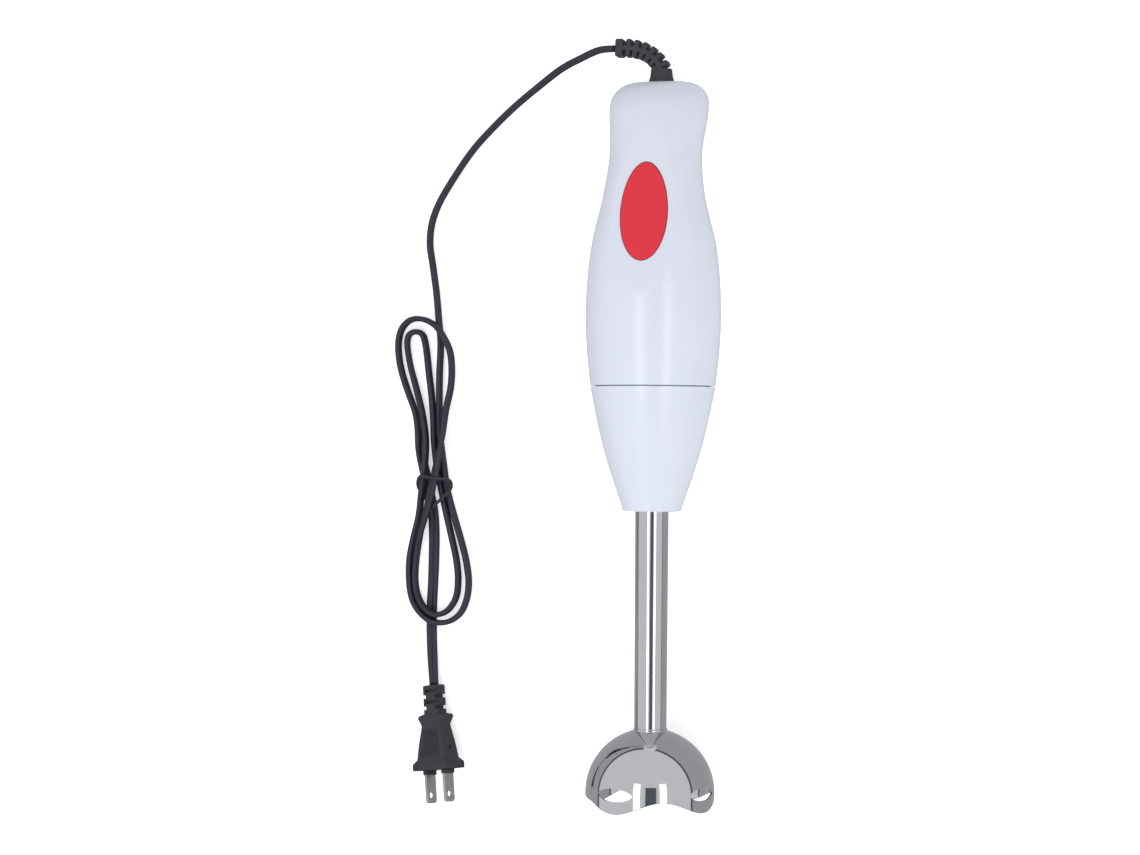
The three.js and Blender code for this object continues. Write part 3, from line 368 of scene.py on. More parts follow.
sheath = Finish("cord_pvc")
lengthwise = sheath.node("ShaderNodeUVMap", {"uv_map": "UVMap"}, {})
stretched = sheath.node("ShaderNodeMapping", {}, {"Vector": lengthwise, "Scale": (40, 26, 1)})
draw_marks = sheath.grain(stretched, 1, 3)
handling = sheath.grain(sheath.place(), 55, 3)
pits = sheath.grain(sheath.place(), 2600, 2)
cord.data.materials.append(sheath.surface(
    Base_Color=sheath.between(handling, (0.0105, 0.0115, 0.021), (0.019, 0.020, 0.032)),
    Roughness=0.34 + 0.16 * handling + 0.08 * draw_marks,
    Normal=sheath.bump(draw_marks * 0.7 + pits * 0.3, 0.00012, 0.6),
))
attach(cord, "root")
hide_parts("cord_lead", "cord_hank", "cord_tail")

# ---- Cord tie ------------------------------------------------------------------------------------
# A twist of plastic-covered wire, 1.7 mm thick. It goes once round the waist of the hank, makes a
# loose loop at the right, and its end is tucked back across the strands.
tie_places = [
    (-121.2, -30.25, 3.4), (-123.8, -26.75, 4.2), (-125.4, -22.25, 6), (-124.2, -18.55, 8.4),
    (-121.5, -17.55, 10.4), (-118, -18.15, 11.6), (-114.2, -18.65, 11.7), (-111, -18.85, 10.9),
    (-109, -19.05, 9.6), (-107.7, -20.35, 8.2), (-107.5, -22.65, 7.6), (-108.4, -24.75, 8.6),
    (-110, -26.75, 9.8), (-112.2, -29.05, 10.4), (-114.6, -31.15, 10.2), (-116.7, -32.85, 8.6),
    (-118.4, -34.05, 6.4),
]
tie_radius = 1.7 / 2 * mm
tie_route = smooth_route([Vector((x * mm, y * mm, z * mm, 0)) for x, y, z in tie_places], 0.5 * mm)
tie_round = [(math.cos(math.tau * i / 12) * tie_radius, math.sin(math.tau * i / 12) * tie_radius)
             for i in range(12)]
tie = swept("cord_tie_wire", tie_route, tie_round)

covering = Finish("tie_covering")
ripple = covering.node("ShaderNodeUVMap", {"uv_map": "UVMap"}, {})
stretched = covering.node("ShaderNodeMapping", {}, {"Vector": ripple, "Scale": (900, 4, 1)})
creases = covering.grain(stretched, 1, 2)
tie.data.materials.append(covering.surface(
    Base_Color=covering.between(creases, (0.010, 0.011, 0.015), (0.026, 0.027, 0.034)),
    Roughness=0.42 + 0.2 * creases,
    Normal=covering.bump(creases, 0.00015, 0.5),
))
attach(tie, "root")
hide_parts("cord_tie")

# ---- Plug body -----------------------------------------------------------------------------------
# One soft black PVC moulding: a flexible sleeve cut by slots, a flared shoulder to pull on, a body
# with a ribbed grip on both broad faces, and a flange. It is made along its own -Y, then turned to
# the way that it lies on the table.
plug_place = Matrix.Translation(Vector((-116.7, -122.05, 5.1)) * mm)
for angle, turned_about in ((6.7, "Z"), (-8.6, "X"), (-28, "Y")):
    plug_place = plug_place @ Matrix.Rotation(math.radians(angle), 4, turned_about)
plug_stations = [   # place from the cord's end, half the width and half the thickness, in mm
    (0.0, 4.1, 2.7), (-0.5, 4.7, 3.2), (-14.3, 4.8, 3.3), (-15.0, 8.0, 3.9), (-15.8, 8.6, 4.2),
    (-16.6, 8.5, 4.1), (-19.9, 6.5, 3.9), (-20.6, 6.55, 3.95), (-24.0, 7.3, 4.25), (-28.0, 8.2, 4.65),
    (-32.0, 8.9, 5.0), (-35.6, 9.4, 5.3), (-36.6, 9.6, 5.4), (-38.8, 11.9, 6.6), (-41.7, 12.0, 6.7),
    (-42.0, 11.7, 6.4),
]


def settle(piece):
    select_only(piece)
    bpy.ops.object.transform_apply(location=True, rotation=True, scale=True)
    return piece


def modify(piece, kind, **settings):
    modifier = piece.modifiers.new(kind.lower(), kind)
    for name, value in settings.items():
        setattr(modifier, name, value)
    select_only(piece)
    bpy.ops.object.modifier_apply(modifier=modifier.name)
    return piece


def cut(piece, *cutters, operation="DIFFERENCE"):
    for cutter in cutters:
        modify(piece, "BOOLEAN", object=cutter, operation=operation, solver="EXACT")
        bpy.data.objects.remove(cutter)
    return piece


def block(name, low, high):
    """A box between two corners given in mm."""
    middle = [(a + b) / 2 * mm for a, b in zip(low, high)]
    bpy.ops.object.select_all(action="DESELECT")
    bpy.ops.mesh.primitive_cube_add(size=1, location=middle)
    piece = bpy.context.object
    piece.name = name
    piece.scale = [(b - a) * mm for a, b in zip(low, high)]
    return settle(piece)


def rod(name, radius, low, high, sides=24):
    """A round bar between two places in mm."""
    low, high = Vector(low) * mm, Vector(high) * mm
    bpy.ops.object.select_all(action="DESELECT")
    bpy.ops.mesh.primitive_cylinder_add(vertices=sides, radius=radius * mm, depth=(high - low).length,
                                        location=(low + high) / 2)
    piece = bpy.context.object
    piece.name = name
    piece.rotation_mode = "QUATERNION"
    piece.rotation_quaternion = (high - low).to_track_quat("Z", "Y")
    return settle(piece)


def placed_copy(piece, matrix, name="copy"):
    made = bpy.data.objects.new(name, piece.data.copy())
    bpy.context.scene.collection.objects.link(made)
    made.data.transform(matrix)
    return made


def joined(name, *pieces):
    select_only(pieces[0])
    for piece in pieces:
        piece.select_set(True)
    if len(pieces) > 1:
        bpy.ops.object.join()
    whole = bpy.context.object
    whole.name = name
    return whole


def smoothed(piece, degrees):
    select_only(piece)
    bpy.ops.object.shade_smooth_by_angle(angle=math.radians(degrees))
    return piece


def softened(piece, width, segments=2, angle=35):
    modify(piece, "BEVEL", width=width * mm, segments=segments, limit_method="ANGLE",
           angle_limit=math.radians(angle), miter_outer="MITER_ARC", harden_normals=False)
    return smoothed(piece, angle)


def drawn_out(name, stations, corner, sides=2):
    """A rounded rectangle drawn out along -Y and resized at each station, all in mm."""
    bpy.ops.object.select_all(action="DESELECT")
    bpy.ops.mesh.primitive_circle_add(vertices=4 * sides, radius=1, fill_type="NGON",
                                      rotation=(math.pi / 2, 0, 0))
    piece = bpy.context.object
    piece.name = name
    settle(piece)
    start, half_x, half_z = stations[0]
    for vertex in piece.data.vertices:             # the circle's points go to the rounded corners
        turn = math.atan2(vertex.co.z, vertex.co.x)
        quarter = math.floor(turn / (math.pi / 2))
        share = (turn - quarter * math.pi / 2) / (math.pi / 2)
        middle = (quarter + 0.5) * math.pi / 2
        corner_turn = quarter * math.pi / 2 + share * math.pi / 2
        x = math.copysign(half_x - corner, math.cos(middle)) + corner * math.cos(corner_turn)
        z = math.copysign(half_z - corner, math.sin(middle)) + corner * math.sin(corner_turn)
        vertex.co = Vector((x, start, z)) * mm
    select_only(piece)
    bpy.ops.object.mode_set(mode="EDIT")
    bpy.ops.mesh.select_all(action="SELECT")
    for here, there in zip(stations, stations[1:]):
        bpy.ops.mesh.extrude_region_move(TRANSFORM_OT_translate={"value": (0, (there[0] - here[0]) * mm, 0)})
        bpy.ops.transform.resize(value=(there[1] / here[1], 1, there[2] / here[2]),
                                 center_override=(0, there[0] * mm, 0))
    bpy.ops.mesh.select_all(action="SELECT")
    bpy.ops.mesh.normals_make_consistent(inside=False)
    bpy.ops.object.mode_set(mode="OBJECT")
    return piece


plug = drawn_out("plug_moulding", plug_stations, 0.2)
for middle in (-2.9, -8.5):                        # slots across the broad faces of the sleeve
    cut(plug, block("slot", (-3.4, middle - 0.75, 1.5), (6, middle + 0.75, 5)))
    cut(plug, block("slot", (-6, middle - 0.75, -5), (3.4, middle + 0.75, -1.5)))
for middle in (-5.7, -11.3):                       # notches in its narrow faces
    for side in (1, -1):
        low, high = sorted((side * 2.9, side * 7))
        cut(plug, block("notch", (low, middle - 0.85, -6), (high, middle + 0.85, 6)))
softened(plug, 0.3, 2, 30)
ribs = []
for i in range(12):                                # grip ribs, shorter towards the shoulder
    y = -22.6 - 1.12 * i
    reach = 4.5 + 0.18 * i
    face = 4.0 + (5.2 - 4.0) * min(1.0, (-y - 20.6) / 14)
    for side in (1, -1):
        rib = rod("rib", 0.36, (-reach, y, side * face), (reach, y, side * face), 10)
        ribs.append(softened(rib, 0.12, 2, 60))
for side in (1, -1):                               # small diamond dimple in each narrow face
    dimple = block("dimple", (-0.9, -0.9, -0.9), (0.9, 0.9, 0.9))
    in_the_face = Matrix.Translation(Vector((side * 9.0, -31.5, 0)) * mm)
    dimple.data.transform(in_the_face @ Matrix.Rotation(math.pi / 4, 4, "X"))
    cut(plug, dimple)
roots = [softened(block("root", (side * 6.35 - 1.3, -44.3, -3.6), (side * 6.35 + 1.3, -41.5, 3.6)), 0.4, 2)
         for side in (1, -1)]
plug = joined("plug_moulding", plug, *ribs, *roots)
plug.data.transform(plug_place)

moulding = Finish("plug_pvc")
cloud = moulding.grain(moulding.place(), 90, 4)
etched = moulding.grain(moulding.place(), 2400, 3)
dust = moulding.grain(moulding.place(), 320, 6, 0.7)
plug.data.materials.append(moulding.surface(
    Base_Color=moulding.between(dust, (0.014, 0.0155, 0.020), (0.030, 0.033, 0.039)),
    Roughness=0.46 + 0.22 * cloud,
    Normal=moulding.bump(etched * 0.8 + cloud * 0.2, 0.00025, 0.55),
))
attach(plug, "root")
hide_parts("plug_body")

# ---- Plug blades ---------------------------------------------------------------------------------
# Two flat blades stamped from brass strip and plated, 6.35 x 1.5 mm, 12.7 mm apart, with coined
# tips and a 3 mm hole near the end. They are moulded into the plug.
blade_tip = -58.3
plating = Finish("plated_brass")
strokes = plating.grain(plating.place(scale=(900, 30, 900)), 1, 3)
rubbed = plating.grain(plating.place(), 420, 5, 0.7)
plating.surface(
    Base_Color=plating.between(rubbed, (0.44, 0.42, 0.40), (0.62, 0.60, 0.57)),
    Metallic=1.0,
    Roughness=0.26 + 0.16 * rubbed + 0.05 * strokes,
    Normal=plating.bump(strokes, 0.00003, 0.4),
)
for name, side in (("left", -1), ("right", 1)):
    x = side * 6.35
    contact = block(f"plug_contact_{name}", (x - 0.75, blade_tip, -3.175), (x + 0.75, -40, 3.175))
    select_only(contact)
    bpy.ops.object.mode_set(mode="EDIT")
    bpy.ops.mesh.select_mode(type="EDGE")
    edit = bmesh.from_edit_mesh(contact.data)
    for edge in edit.edges:                        # clipped corners of the tip
        edge.select_set(all(v.co.y < (blade_tip + 1) * mm for v in edge.verts)
                        and abs(edge.verts[0].co.x - edge.verts[1].co.x) > 1 * mm)
    bmesh.update_edit_mesh(contact.data)
    bpy.ops.mesh.bevel(offset=1.7 * mm, segments=3, affect="EDGES", profile=0.5)
    bpy.ops.object.mode_set(mode="OBJECT")
    cut(contact, rod("hole", 1.5, (x - 3, blade_tip + 4, 0), (x + 3, blade_tip + 4, 0), 32))
    softened(contact, 0.16, 2, 30)
    contact.data.transform(plug_place)
    contact.data.materials.append(plating.material)
    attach(contact, "root")
    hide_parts(f"plug_blade_{name}")

# ---- Strain relief -------------------------------------------------------------------------------
# One soft black PVC moulding over the lead: a flared collar on top of the handle, then a flexible
# arm of rounded rings on a thin core, held together by a narrow band along each face.
relief_height = sum(corner.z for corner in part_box("strain_relief")) / 2 / mm
handle_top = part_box("rear_shell")[1].y / mm
arm_places = [(0.2, 5.4), (-0.6, 8.2), (-2.6, 11.0), (-5.6, 13.7), (-9.4, 15.7), (-13.8, 16.9), (-18.2, 17.4),
              (-22.0, 17.55)]
arm = smooth_route([Vector((x, handle_top + y, relief_height, 0)) for x, y in arm_places], 0.25)


def arm_matrix(length, reach=1.0):
    """The place on the arm a length from its root, with X across it and Y along it."""
    gone, k = 0.0, 0
    while k < len(arm) - 2 and gone < length:
        gone += (arm[k + 1].xyz - arm[k].xyz).length
        k += 1
    ahead = (arm[k + 1].xyz - arm[k - 1].xyz).normalized() if k else (arm[1].xyz - arm[0].xyz).normalized()
    across = ahead.cross(Vector((0, 0, 1)))
    turned = Matrix((across, ahead, Vector((0, 0, 1)))).transposed().to_4x4()
    return Matrix.Translation(arm[k].xyz * mm) @ turned @ Matrix.Diagonal((reach, 1, 1, 1))


def rounded_rectangle(half_wide, half_high, corner, steps=4):
    points = []
    for quarter in range(4):
        middle = (quarter + 0.5) * math.pi / 2
        x = math.copysign(half_wide - corner, math.cos(middle))
        z = math.copysign(half_high - corner, math.sin(middle))
        for i in range(steps + 1):
            turn = (quarter + i / steps) * math.pi / 2
            points.append(((x + corner * math.cos(turn)) * mm, (z + corner * math.sin(turn)) * mm))
    return points


arm_route = [Vector((*(place.xyz * mm), 0)) for place in arm]
parts = [swept("band", arm_route, rounded_rectangle(1.25, 3.75, 0.5)),
         swept("core", arm_route, rounded_rectangle(2.5, 1.75, 1.2))]
ring = softened(block("ring", (-4.2, -1.45, -3.7), (4.5, 1.45, 3.7)), 1.0, 4)
arm_length = sum((b.xyz - a.xyz).length for a, b in zip(arm, arm[1:]))
first_ring, last_ring, ring_count = 2.6, arm_length - 6.2, 6
for i in range(ring_count):
    length = first_ring + (last_ring - first_ring) * i / (ring_count - 1)
    parts.append(placed_copy(ring, arm_matrix(length), "ring"))
end_block = softened(block("end", (-4.3, -2.0, -4.0), (4.3, 2.0, 4.0)), 0.9, 3)
parts.append(placed_copy(end_block, arm_matrix(arm_length - 1.6), "ring"))
for pattern in (ring, end_block):
    bpy.data.objects.remove(pattern)


def turned(name, profile, steps=96, centre=(0, 0, 0)):
    """A closed profile of radius and place, in mm, spun about the axis."""
    mesh = bpy.data.meshes.new(name)
    count = len(profile)
    links = [(i, (i + 1) % count) for i in range(count)]
    mesh.from_pydata([(r * mm, y * mm, 0) for r, y in profile], links, [])
    piece = bpy.data.objects.new(name, mesh)
    bpy.context.scene.collection.objects.link(piece)
    edited(
        piece,
        lambda: bpy.ops.mesh.spin(steps=steps, angle=math.tau, center=(0, 0, 0), axis=(0, 1, 0)),
        lambda: bpy.ops.mesh.remove_doubles(threshold=1e-6),
        outward,
    )
    piece.data.transform(Matrix.Translation(Vector(centre) * mm))
    return smoothed(piece, 35)


collar = turned("collar", [
    (0.5, 0.35), (6.2, 0.35), (6.35, 0.7), (6.0, 1.6), (5.6, 2.8), (5.35, 4.6), (5.2, 6.3), (4.9, 6.8),
    (4.3, 7.0), (0.5, 7.0),
], 64)
on_the_handle = Matrix.Translation(Vector((0, handle_top, relief_height)) * mm)
collar.data.transform(on_the_handle @ Matrix.Diagonal((1, 1, 0.86, 1)))
relief = joined("strain_relief_moulding", *parts, collar)

supple = Finish("relief_pvc")
haze = supple.grain(supple.place(), 110, 4)
etch = supple.grain(supple.place(), 2600, 3)
supple.surface(
    Base_Color=supple.between(haze, (0.018, 0.020, 0.0245), (0.035, 0.038, 0.043)),
    Roughness=0.48 + 0.2 * haze,
    Normal=supple.bump(etch, 0.0002, 0.5),
)
relief.data.materials.append(supple.material)
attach(relief, "root")
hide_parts("strain_relief")

# ---- Handle --------------------------------------------------------------------------------------
# Two half shells moulded in glossy bluish-white ABS, 2.2 mm thick, that part along the sides. The
# front one has a shallow facet round the button's opening. The rear one has the vents and the deep
# holes of four screws.
axis_mm = axis_z / mm
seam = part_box("front_shell")[0].y / mm - 0.25
handle_length = handle_top - seam
belly_radius = 32.4
seam_radius = 29.9
belly_from_top = handle_length - 37
shoulder_from_top = belly_from_top - 29
shoulder_radius = belly_radius - 2.3
shell_wall = 2.2
facet_top, facet_length, facet_sag = 24, 78, 1.2


def through_stations(stations):
    """A smooth curve through [place, value] stations, read at one place."""
    points = [Vector(station) for station in stations]
    points = [2 * points[0] - points[1], *points, 2 * points[-1] - points[-2]]
    dense = []
    for a, b, c, d in zip(points, points[1:], points[2:], points[3:]):
        first, middle, last = (b - a).length ** 0.5, (c - b).length ** 0.5, (d - c).length ** 0.5
        out = ((b - a) / first - (c - a) / (first + middle) + (c - b) / middle) * middle
        into = ((c - b) / middle - (d - b) / (middle + last) + (d - c) / last) * middle
        for i in range(40):
            t = i / 40
            dense.append(b + out * t + (3 * (c - b) - 2 * out - into) * t ** 2
                         + (2 * (b - c) + out + into) * t ** 3)
    dense.append(points[-2])

    def read(place):
        if place <= dense[0].x:
            return dense[0].y
        for here, there in zip(dense, dense[1:]):
            if there.x >= place:
                return here.y + (there.y - here.y) * (place - here.x) / max(1e-9, there.x - here.x)
        return dense[-1].y
    return read


lower_stations = [(shoulder_from_top, shoulder_radius), (belly_from_top, belly_radius),
                  (handle_length - 16, belly_radius - 0.8), (handle_length, seam_radius)]
handle_width = through_stations([(0, 23), (14, 23.7), (36, 22), (56, 24.3), *lower_stations])
handle_front = through_stations([(0, 7.6), (16, 12.8), (36, 19.3), (56, 25.2), *lower_stations])
handle_rear = through_stations([(0, 31.4), (14, 31.6), (36, 25.6), (56, 24.6), *lower_stations])


def facet_height(y):
    along = (handle_top - facet_top - y) / facet_length
    upper, lower = handle_front(facet_top), handle_front(facet_top + facet_length)
    return upper + (lower - upper) * along - 4 * facet_sag * along * (1 - along)


def handle_ring(from_top, share=1.0, inset=0.0):
    """Middle and half sizes of the handle's section, in mm from the axis."""
    depth = max(0.0, from_top - inset)
    rounded = [math.sqrt(max(0.0, 1 - (1 - min(depth / radius, 1)) ** 2)) for radius in (10, 16, 7)]
    half_x = 13 + (handle_width(from_top) - inset - 13) * rounded[0]
    front = -8 + (handle_front(from_top) - inset + 8) * rounded[1]
    rear = -25.5 + (-handle_rear(from_top) + inset + 25.5) * rounded[2]
    power = 2 + 0.3 * max(0, 1 - from_top / shoulder_from_top)
    return half_x * share, (front + rear) / 2, (front - rear) / 2 * share, power


def handle_point(ring, from_top, turn):
    half_x, middle, half_z, power = ring
    across, over = math.cos(turn), math.sin(turn)
    x = half_x * math.copysign(abs(across) ** (2 / power), across)
    z = middle + half_z * math.copysign(abs(over) ** (2 / power), over)
    y = handle_top - from_top
    if z > middle and 5 < from_top < facet_top + 1.24 * facet_length:
        limit = facet_height(y)
        merge = max(0.0, 1.1 - abs(z - limit)) / 1.1
        z = min(z, limit) - merge * merge * 1.1 / 4
    return Vector((x, y, z + axis_mm)) * mm


def handle_rows(lowest):
    rows = [(0.0, share) for share in (0.01, 0.3, 0.6, 0.82, 0.94)]
    rows += [(16 * (1 - math.cos(math.pi / 2 * i / 15)), 1.0) for i in range(15)]
    rest = round((lowest - 16) / 1.05)
    return rows + [(16 + (lowest - 16) * i / rest, 1.0) for i in range(rest + 1)]


def skin(name, rows, columns, place):
    """A grid whose corners are put by place(row, share of the way across)."""
    bpy.ops.object.select_all(action="DESELECT")
    bpy.ops.mesh.primitive_grid_add(x_subdivisions=columns, y_subdivisions=len(rows) - 1, size=2)
    piece = bpy.context.object
    piece.name = name
    for vertex in piece.data.vertices:
        row = round((vertex.co.y + 1) / 2 * (len(rows) - 1))
        vertex.co = place(rows[row], (vertex.co.x + 1) / 2)
    return edited(piece, lambda: bpy.ops.mesh.remove_doubles(threshold=2e-6))


def facing_out(piece, inside):
    """Turns the faces of an open skin away from a point inside it."""
    away = sum((face.normal.dot(face.center - inside) for face in piece.data.polygons))
    if away < 0:
        edited(piece, bpy.ops.mesh.flip_normals)
    return piece


handle_low = handle_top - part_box("front_shell")[0].y / mm
shell_rows = [(*row, handle_ring(*row)) for row in handle_rows(handle_low)]
shells = {}
for name, start in (("front", 0.0), ("rear", math.pi)):
    part_line = 0.005                              # half of the parting gap, as a turn
    shell = skin(f"handle_{name}", shell_rows, 96, lambda row, share: handle_point(
        row[2], row[0], start + part_line + (math.pi - 2 * part_line) * share))
    facing_out(shell, Vector((0, 0.10, axis_z)))
    modify(shell, "SOLIDIFY", thickness=shell_wall * mm, offset=-1, use_even_offset=True)
    modify(shell, "BEVEL", width=0.3 * mm, segments=2, limit_method="ANGLE", angle_limit=math.radians(50))
    shells[name] = shell

button_y = handle_top - 65
button_half_length, button_half_width, button_egg = 23.4, 11.2, 0.06


def button_edge(turn, grow):
    """A place on the egg-shaped outline of the button, in mm."""
    along = math.cos(turn)
    return ((button_half_width + grow) * math.sin(turn) * (1 - button_egg * along),
            button_y + (button_half_length + grow) * along)


bpy.ops.object.select_all(action="DESELECT")
bpy.ops.mesh.primitive_cylinder_add(vertices=128, radius=1, depth=2)
opening = bpy.context.object
for vertex in opening.data.vertices:
    x, y = button_edge(math.atan2(vertex.co.x, vertex.co.y), 0.3)
    vertex.co = Vector((x, y, axis_mm + (0 if vertex.co.z < 0 else 50))) * mm
cut(shells["front"], opening)
cord_hole = (0, handle_top - 8, relief_height), (0, handle_top + 4, relief_height)
cut(shells["front"], rod("cord_hole", 4.5, *cord_hole, 40))
cut(shells["rear"], rod("cord_hole", 4.5, *cord_hole, 40))

screw_places = [(sum(c.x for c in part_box(node)) / 2 / mm, sum(c.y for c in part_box(node)) / 2 / mm)
                for node in ("upper_screw_left", "upper_screw_right", "lower_screw_left", "lower_screw_right")]
screw_seat = axis_mm - 15
bosses = joined("bosses", *[rod("boss", 4.3, (x, y, 0), (x, y, screw_seat + 3), 32) for x, y in screw_places])
core_rows = [(depth, 1.0, handle_ring(depth, 1.0, 0.9))
             for depth in (1, 3, 7, 13, 20, 28, 36, 45, 55, 65, 80, 100)]
core = skin("core", core_rows, 64, lambda row, share: handle_point(row[2], row[0], math.tau * share))
edited(core, lambda: bpy.ops.mesh.fill_holes(sides=0), outward)
cut(bosses, core, operation="INTERSECT")
for x, y in screw_places:
    for piece in (bosses, shells["rear"]):
        cut(piece, rod("counterbore", 3.2, (x, y, -2), (x, y, screw_seat), 32))
        cut(piece, rod("screw_hole", 1.6, (x, y, screw_seat - 2), (x, y, screw_seat + 9), 20))
for i in range(5):                                 # vents over the fan
    y = seam + 48 + 4.5 * i
    slot = block("vent", (-9, y - 1, -1), (9, y + 1, axis_mm - 18))
    cut(shells["rear"], modify(slot, "BEVEL", width=0.95 * mm, segments=5, limit_method="ANGLE"))
shells["rear"] = joined("handle_rear", shells["rear"], bosses)

gloss = Finish("white_abs")
melt = gloss.grain(gloss.place(), 24, 3)
orange_peel = gloss.grain(gloss.place(), 310, 1)
fingering = gloss.grain(gloss.place(), 60, 5, 0.6)
gloss.surface(
    Base_Color=gloss.between(melt, (0.61, 0.635, 0.725), (0.65, 0.67, 0.75)),
    Roughness=0.15 + 0.10 * fingering,
    IOR=1.52,
    Normal=gloss.bump(orange_peel, 0.00004, 0.35),
)
for name, shell in shells.items():
    smoothed(shell, 38)
    shell.data.materials.append(gloss.material)
    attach(shell, "root")
    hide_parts(f"{name}_shell")

# ---- Nose cone -----------------------------------------------------------------------------------
# The lower end of the housing, turned in one piece in the same ABS. A lip holds it in the handle,
# and a socket on its end plate grips the shaft tube.
nose_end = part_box("nose_cone")[0].y / mm
nose_top = seam - 0.25
nose_length = seam - nose_end
nose_end_radius = 14.4
nose_flank = through_stations([
    (0, seam_radius), (0.26 * nose_length, seam_radius - 3.0), (0.52 * nose_length, seam_radius - 6.6),
    (0.76 * nose_length, nose_end_radius + 4.6), (0.97 * nose_length, nose_end_radius + 0.4),
    (nose_length, nose_end_radius),
])
flank = [(nose_flank(nose_length * i / 60), nose_top - (nose_top - nose_end - 1.5) * i / 60)
         for i in range(61)]
end_round = []
for i in range(1, 7):                              # 1.5 mm round at the small end
    bend = math.pi / 2 * i / 6
    end_round.append((nose_end_radius - 1.5 + 1.5 * math.cos(bend) + 0.05,
                      nose_end + 1.5 - 1.5 * math.sin(bend)))
lip = seam_radius - shell_wall - 0.3
nose = turned("nose_cone_shell", [
    (lip, nose_top), (seam_radius - 0.35, nose_top), (seam_radius - 0.1, nose_top - 0.12), *flank[1:],
    *end_round, (9.0, nose_end), (8.45, nose_end + 0.4), (8.3, nose_end + 20), (10.9, nose_end + 20),
    (10.9, nose_end + 4), *[(radius - shell_wall, y) for radius, y in reversed(flank[2:-4:4])],
    (lip - 1.8, nose_top - 1), (lip - 1.8, seam + 5), (lip, seam + 5),
], 160, centre=(0, 0, axis_mm))
nose.data.materials.append(gloss.material)
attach(nose, "root")
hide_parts("nose_cone")

# ---- Power button --------------------------------------------------------------------------------
# An egg-shaped cap in satin red ABS that follows the facet and stands 0.9 mm proud of it. It is
# pushed in against a coil spring that sits in a pocket on its underside, round the stem.
button_stands = 0.9
button_round = 0.8
bpy.ops.object.select_all(action="DESELECT")
bpy.ops.mesh.primitive_uv_sphere_add(segments=96, ring_count=64, radius=1)
button = bpy.context.object
button.name = "button_cap"
for vertex in button.data.vertices:
    polar = math.acos(max(-1, min(1, vertex.co.z))) / (math.pi / 2)
    turn = math.atan2(vertex.co.x, vertex.co.y)
    if polar <= 0.75:
        share, grow, lift = polar / 0.75, -button_round, button_stands
    elif polar <= 1:
        bend = (polar - 0.75) / 0.25 * math.pi / 2
        share, grow = 1, button_round * (math.sin(bend) - 1)
        lift = button_stands + button_round * (math.cos(bend) - 1)
    elif polar <= 1.5:
        share, grow, lift = 1, 0, button_stands - button_round - (polar - 1) * 6
    else:
        share, grow, lift = (2 - polar) / 0.5, 0, button_stands - button_round - 3
    x, y = button_edge(turn, grow)
    x, y = x * share, button_y + (y - button_y) * share
    vertex.co = Vector((x, y, axis_mm + facet_height(y) + lift)) * mm
spring_low, spring_high = (corner.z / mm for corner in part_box("button_spring"))
cut(button, rod("spring_pocket", 5.6, (0, button_y, spring_low), (0, button_y, spring_high + 0.35), 64))
stem = rod("stem", 2.4, (0, button_y, axis_mm + 11.7), (0, button_y, axis_mm + 22))
button = joined("button_cap", button, stem)
smoothed(button, 40)

satin = Finish("red_abs")
sparked = satin.grain(satin.place(), 3400, 2)
tone = satin.grain(satin.place(), 70, 4)
thumbed = satin.grain(satin.place(), 130, 5, 0.65)
button.data.materials.append(satin.surface(
    Base_Color=satin.between(tone, (0.62, 0.013, 0.030), (0.67, 0.017, 0.036)),
    Roughness=0.34 + 0.14 * thumbed,
    Normal=satin.bump(sparked, 0.00006, 0.4),
))
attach(button, "button")
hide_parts("power_button")

# ---- Shaft tube ----------------------------------------------------------------------------------
# Drawn and polished stainless tube, 16 mm across at the nose and 15.4 mm at the bell, 0.8 mm thick.
# It is gripped in the nose cone, and the bell is welded to its lower end.
tube_low, tube_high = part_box("shaft_tube")[0].y / mm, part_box("shaft_tube")[1].y / mm
tube = turned("shaft_tube_steel", [
    (7.2, tube_high), (6.9, tube_low), (7.7, tube_low), (7.72, tube_low + 1), (8.0, nose_end),
    (8.0, tube_high - 0.3), (7.8, tube_high),
], 160, centre=(0, 0, axis_mm))

polish = Finish("polished_stainless")
turned_way = polish.place(scale=(6, 700, 6))
polish_lines = polish.grain(turned_way, 1, 3)
smears = polish.grain(polish.place(), 75, 5, 0.62)
specks = polish.grain(polish.place(), 1900, 2).above(0.73)
polish.surface(
    Base_Color=polish.between(smears, (0.60, 0.595, 0.60), (0.67, 0.665, 0.665)),
    Metallic=1.0,
    Roughness=0.035 + 0.05 * smears + 0.03 * polish_lines + 0.1 * specks,
    Normal=polish.bump(polish_lines, 0.000006, 0.25),
)
tube.data.materials.append(polish.material)
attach(tube, "root")
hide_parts("shaft_tube")

# ---- Bell ----------------------------------------------------------------------------------------
# The blade guard, spun and pressed from 1 mm stainless sheet and mirror polished. Its rim waves
# between four lobes and four arches, and each lobe has a lens-shaped window.
bell_top = tube_low - 1                            # where the bell leaves the tube
bell_radius, bell_dome_height, bell_wall = 30.9, 30.4, 1.0
bell_middle = bell_top + 0.8 - bell_dome_height
lobe_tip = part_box("blade_guard")[0].y / mm
arch_top = lobe_tip + 6.1
lobe_turn = math.radians(-22)                      # first lobe, from the front towards +X
window_y = bell_middle + 1.7
neck_turn = math.acos(8.1 / bell_radius)


def bell_point(row, share):
    """Rings from the weld down the dome, then down to the waved rim."""
    radius, y, wave = row
    turn = math.tau * share
    if wave:
        rim = (lobe_tip + arch_top) / 2 - (arch_top - lobe_tip) / 2 * math.cos(4 * (turn - lobe_turn))
        start = bell_middle + 7
        y = start + (rim + 0.15 - start) * wave
        depth = max(0.0, (y - bell_middle) / bell_dome_height)
        radius = bell_radius * math.sqrt(1 - depth * depth)
    return Vector((radius * math.sin(turn), y, axis_mm + radius * math.cos(turn))) * mm


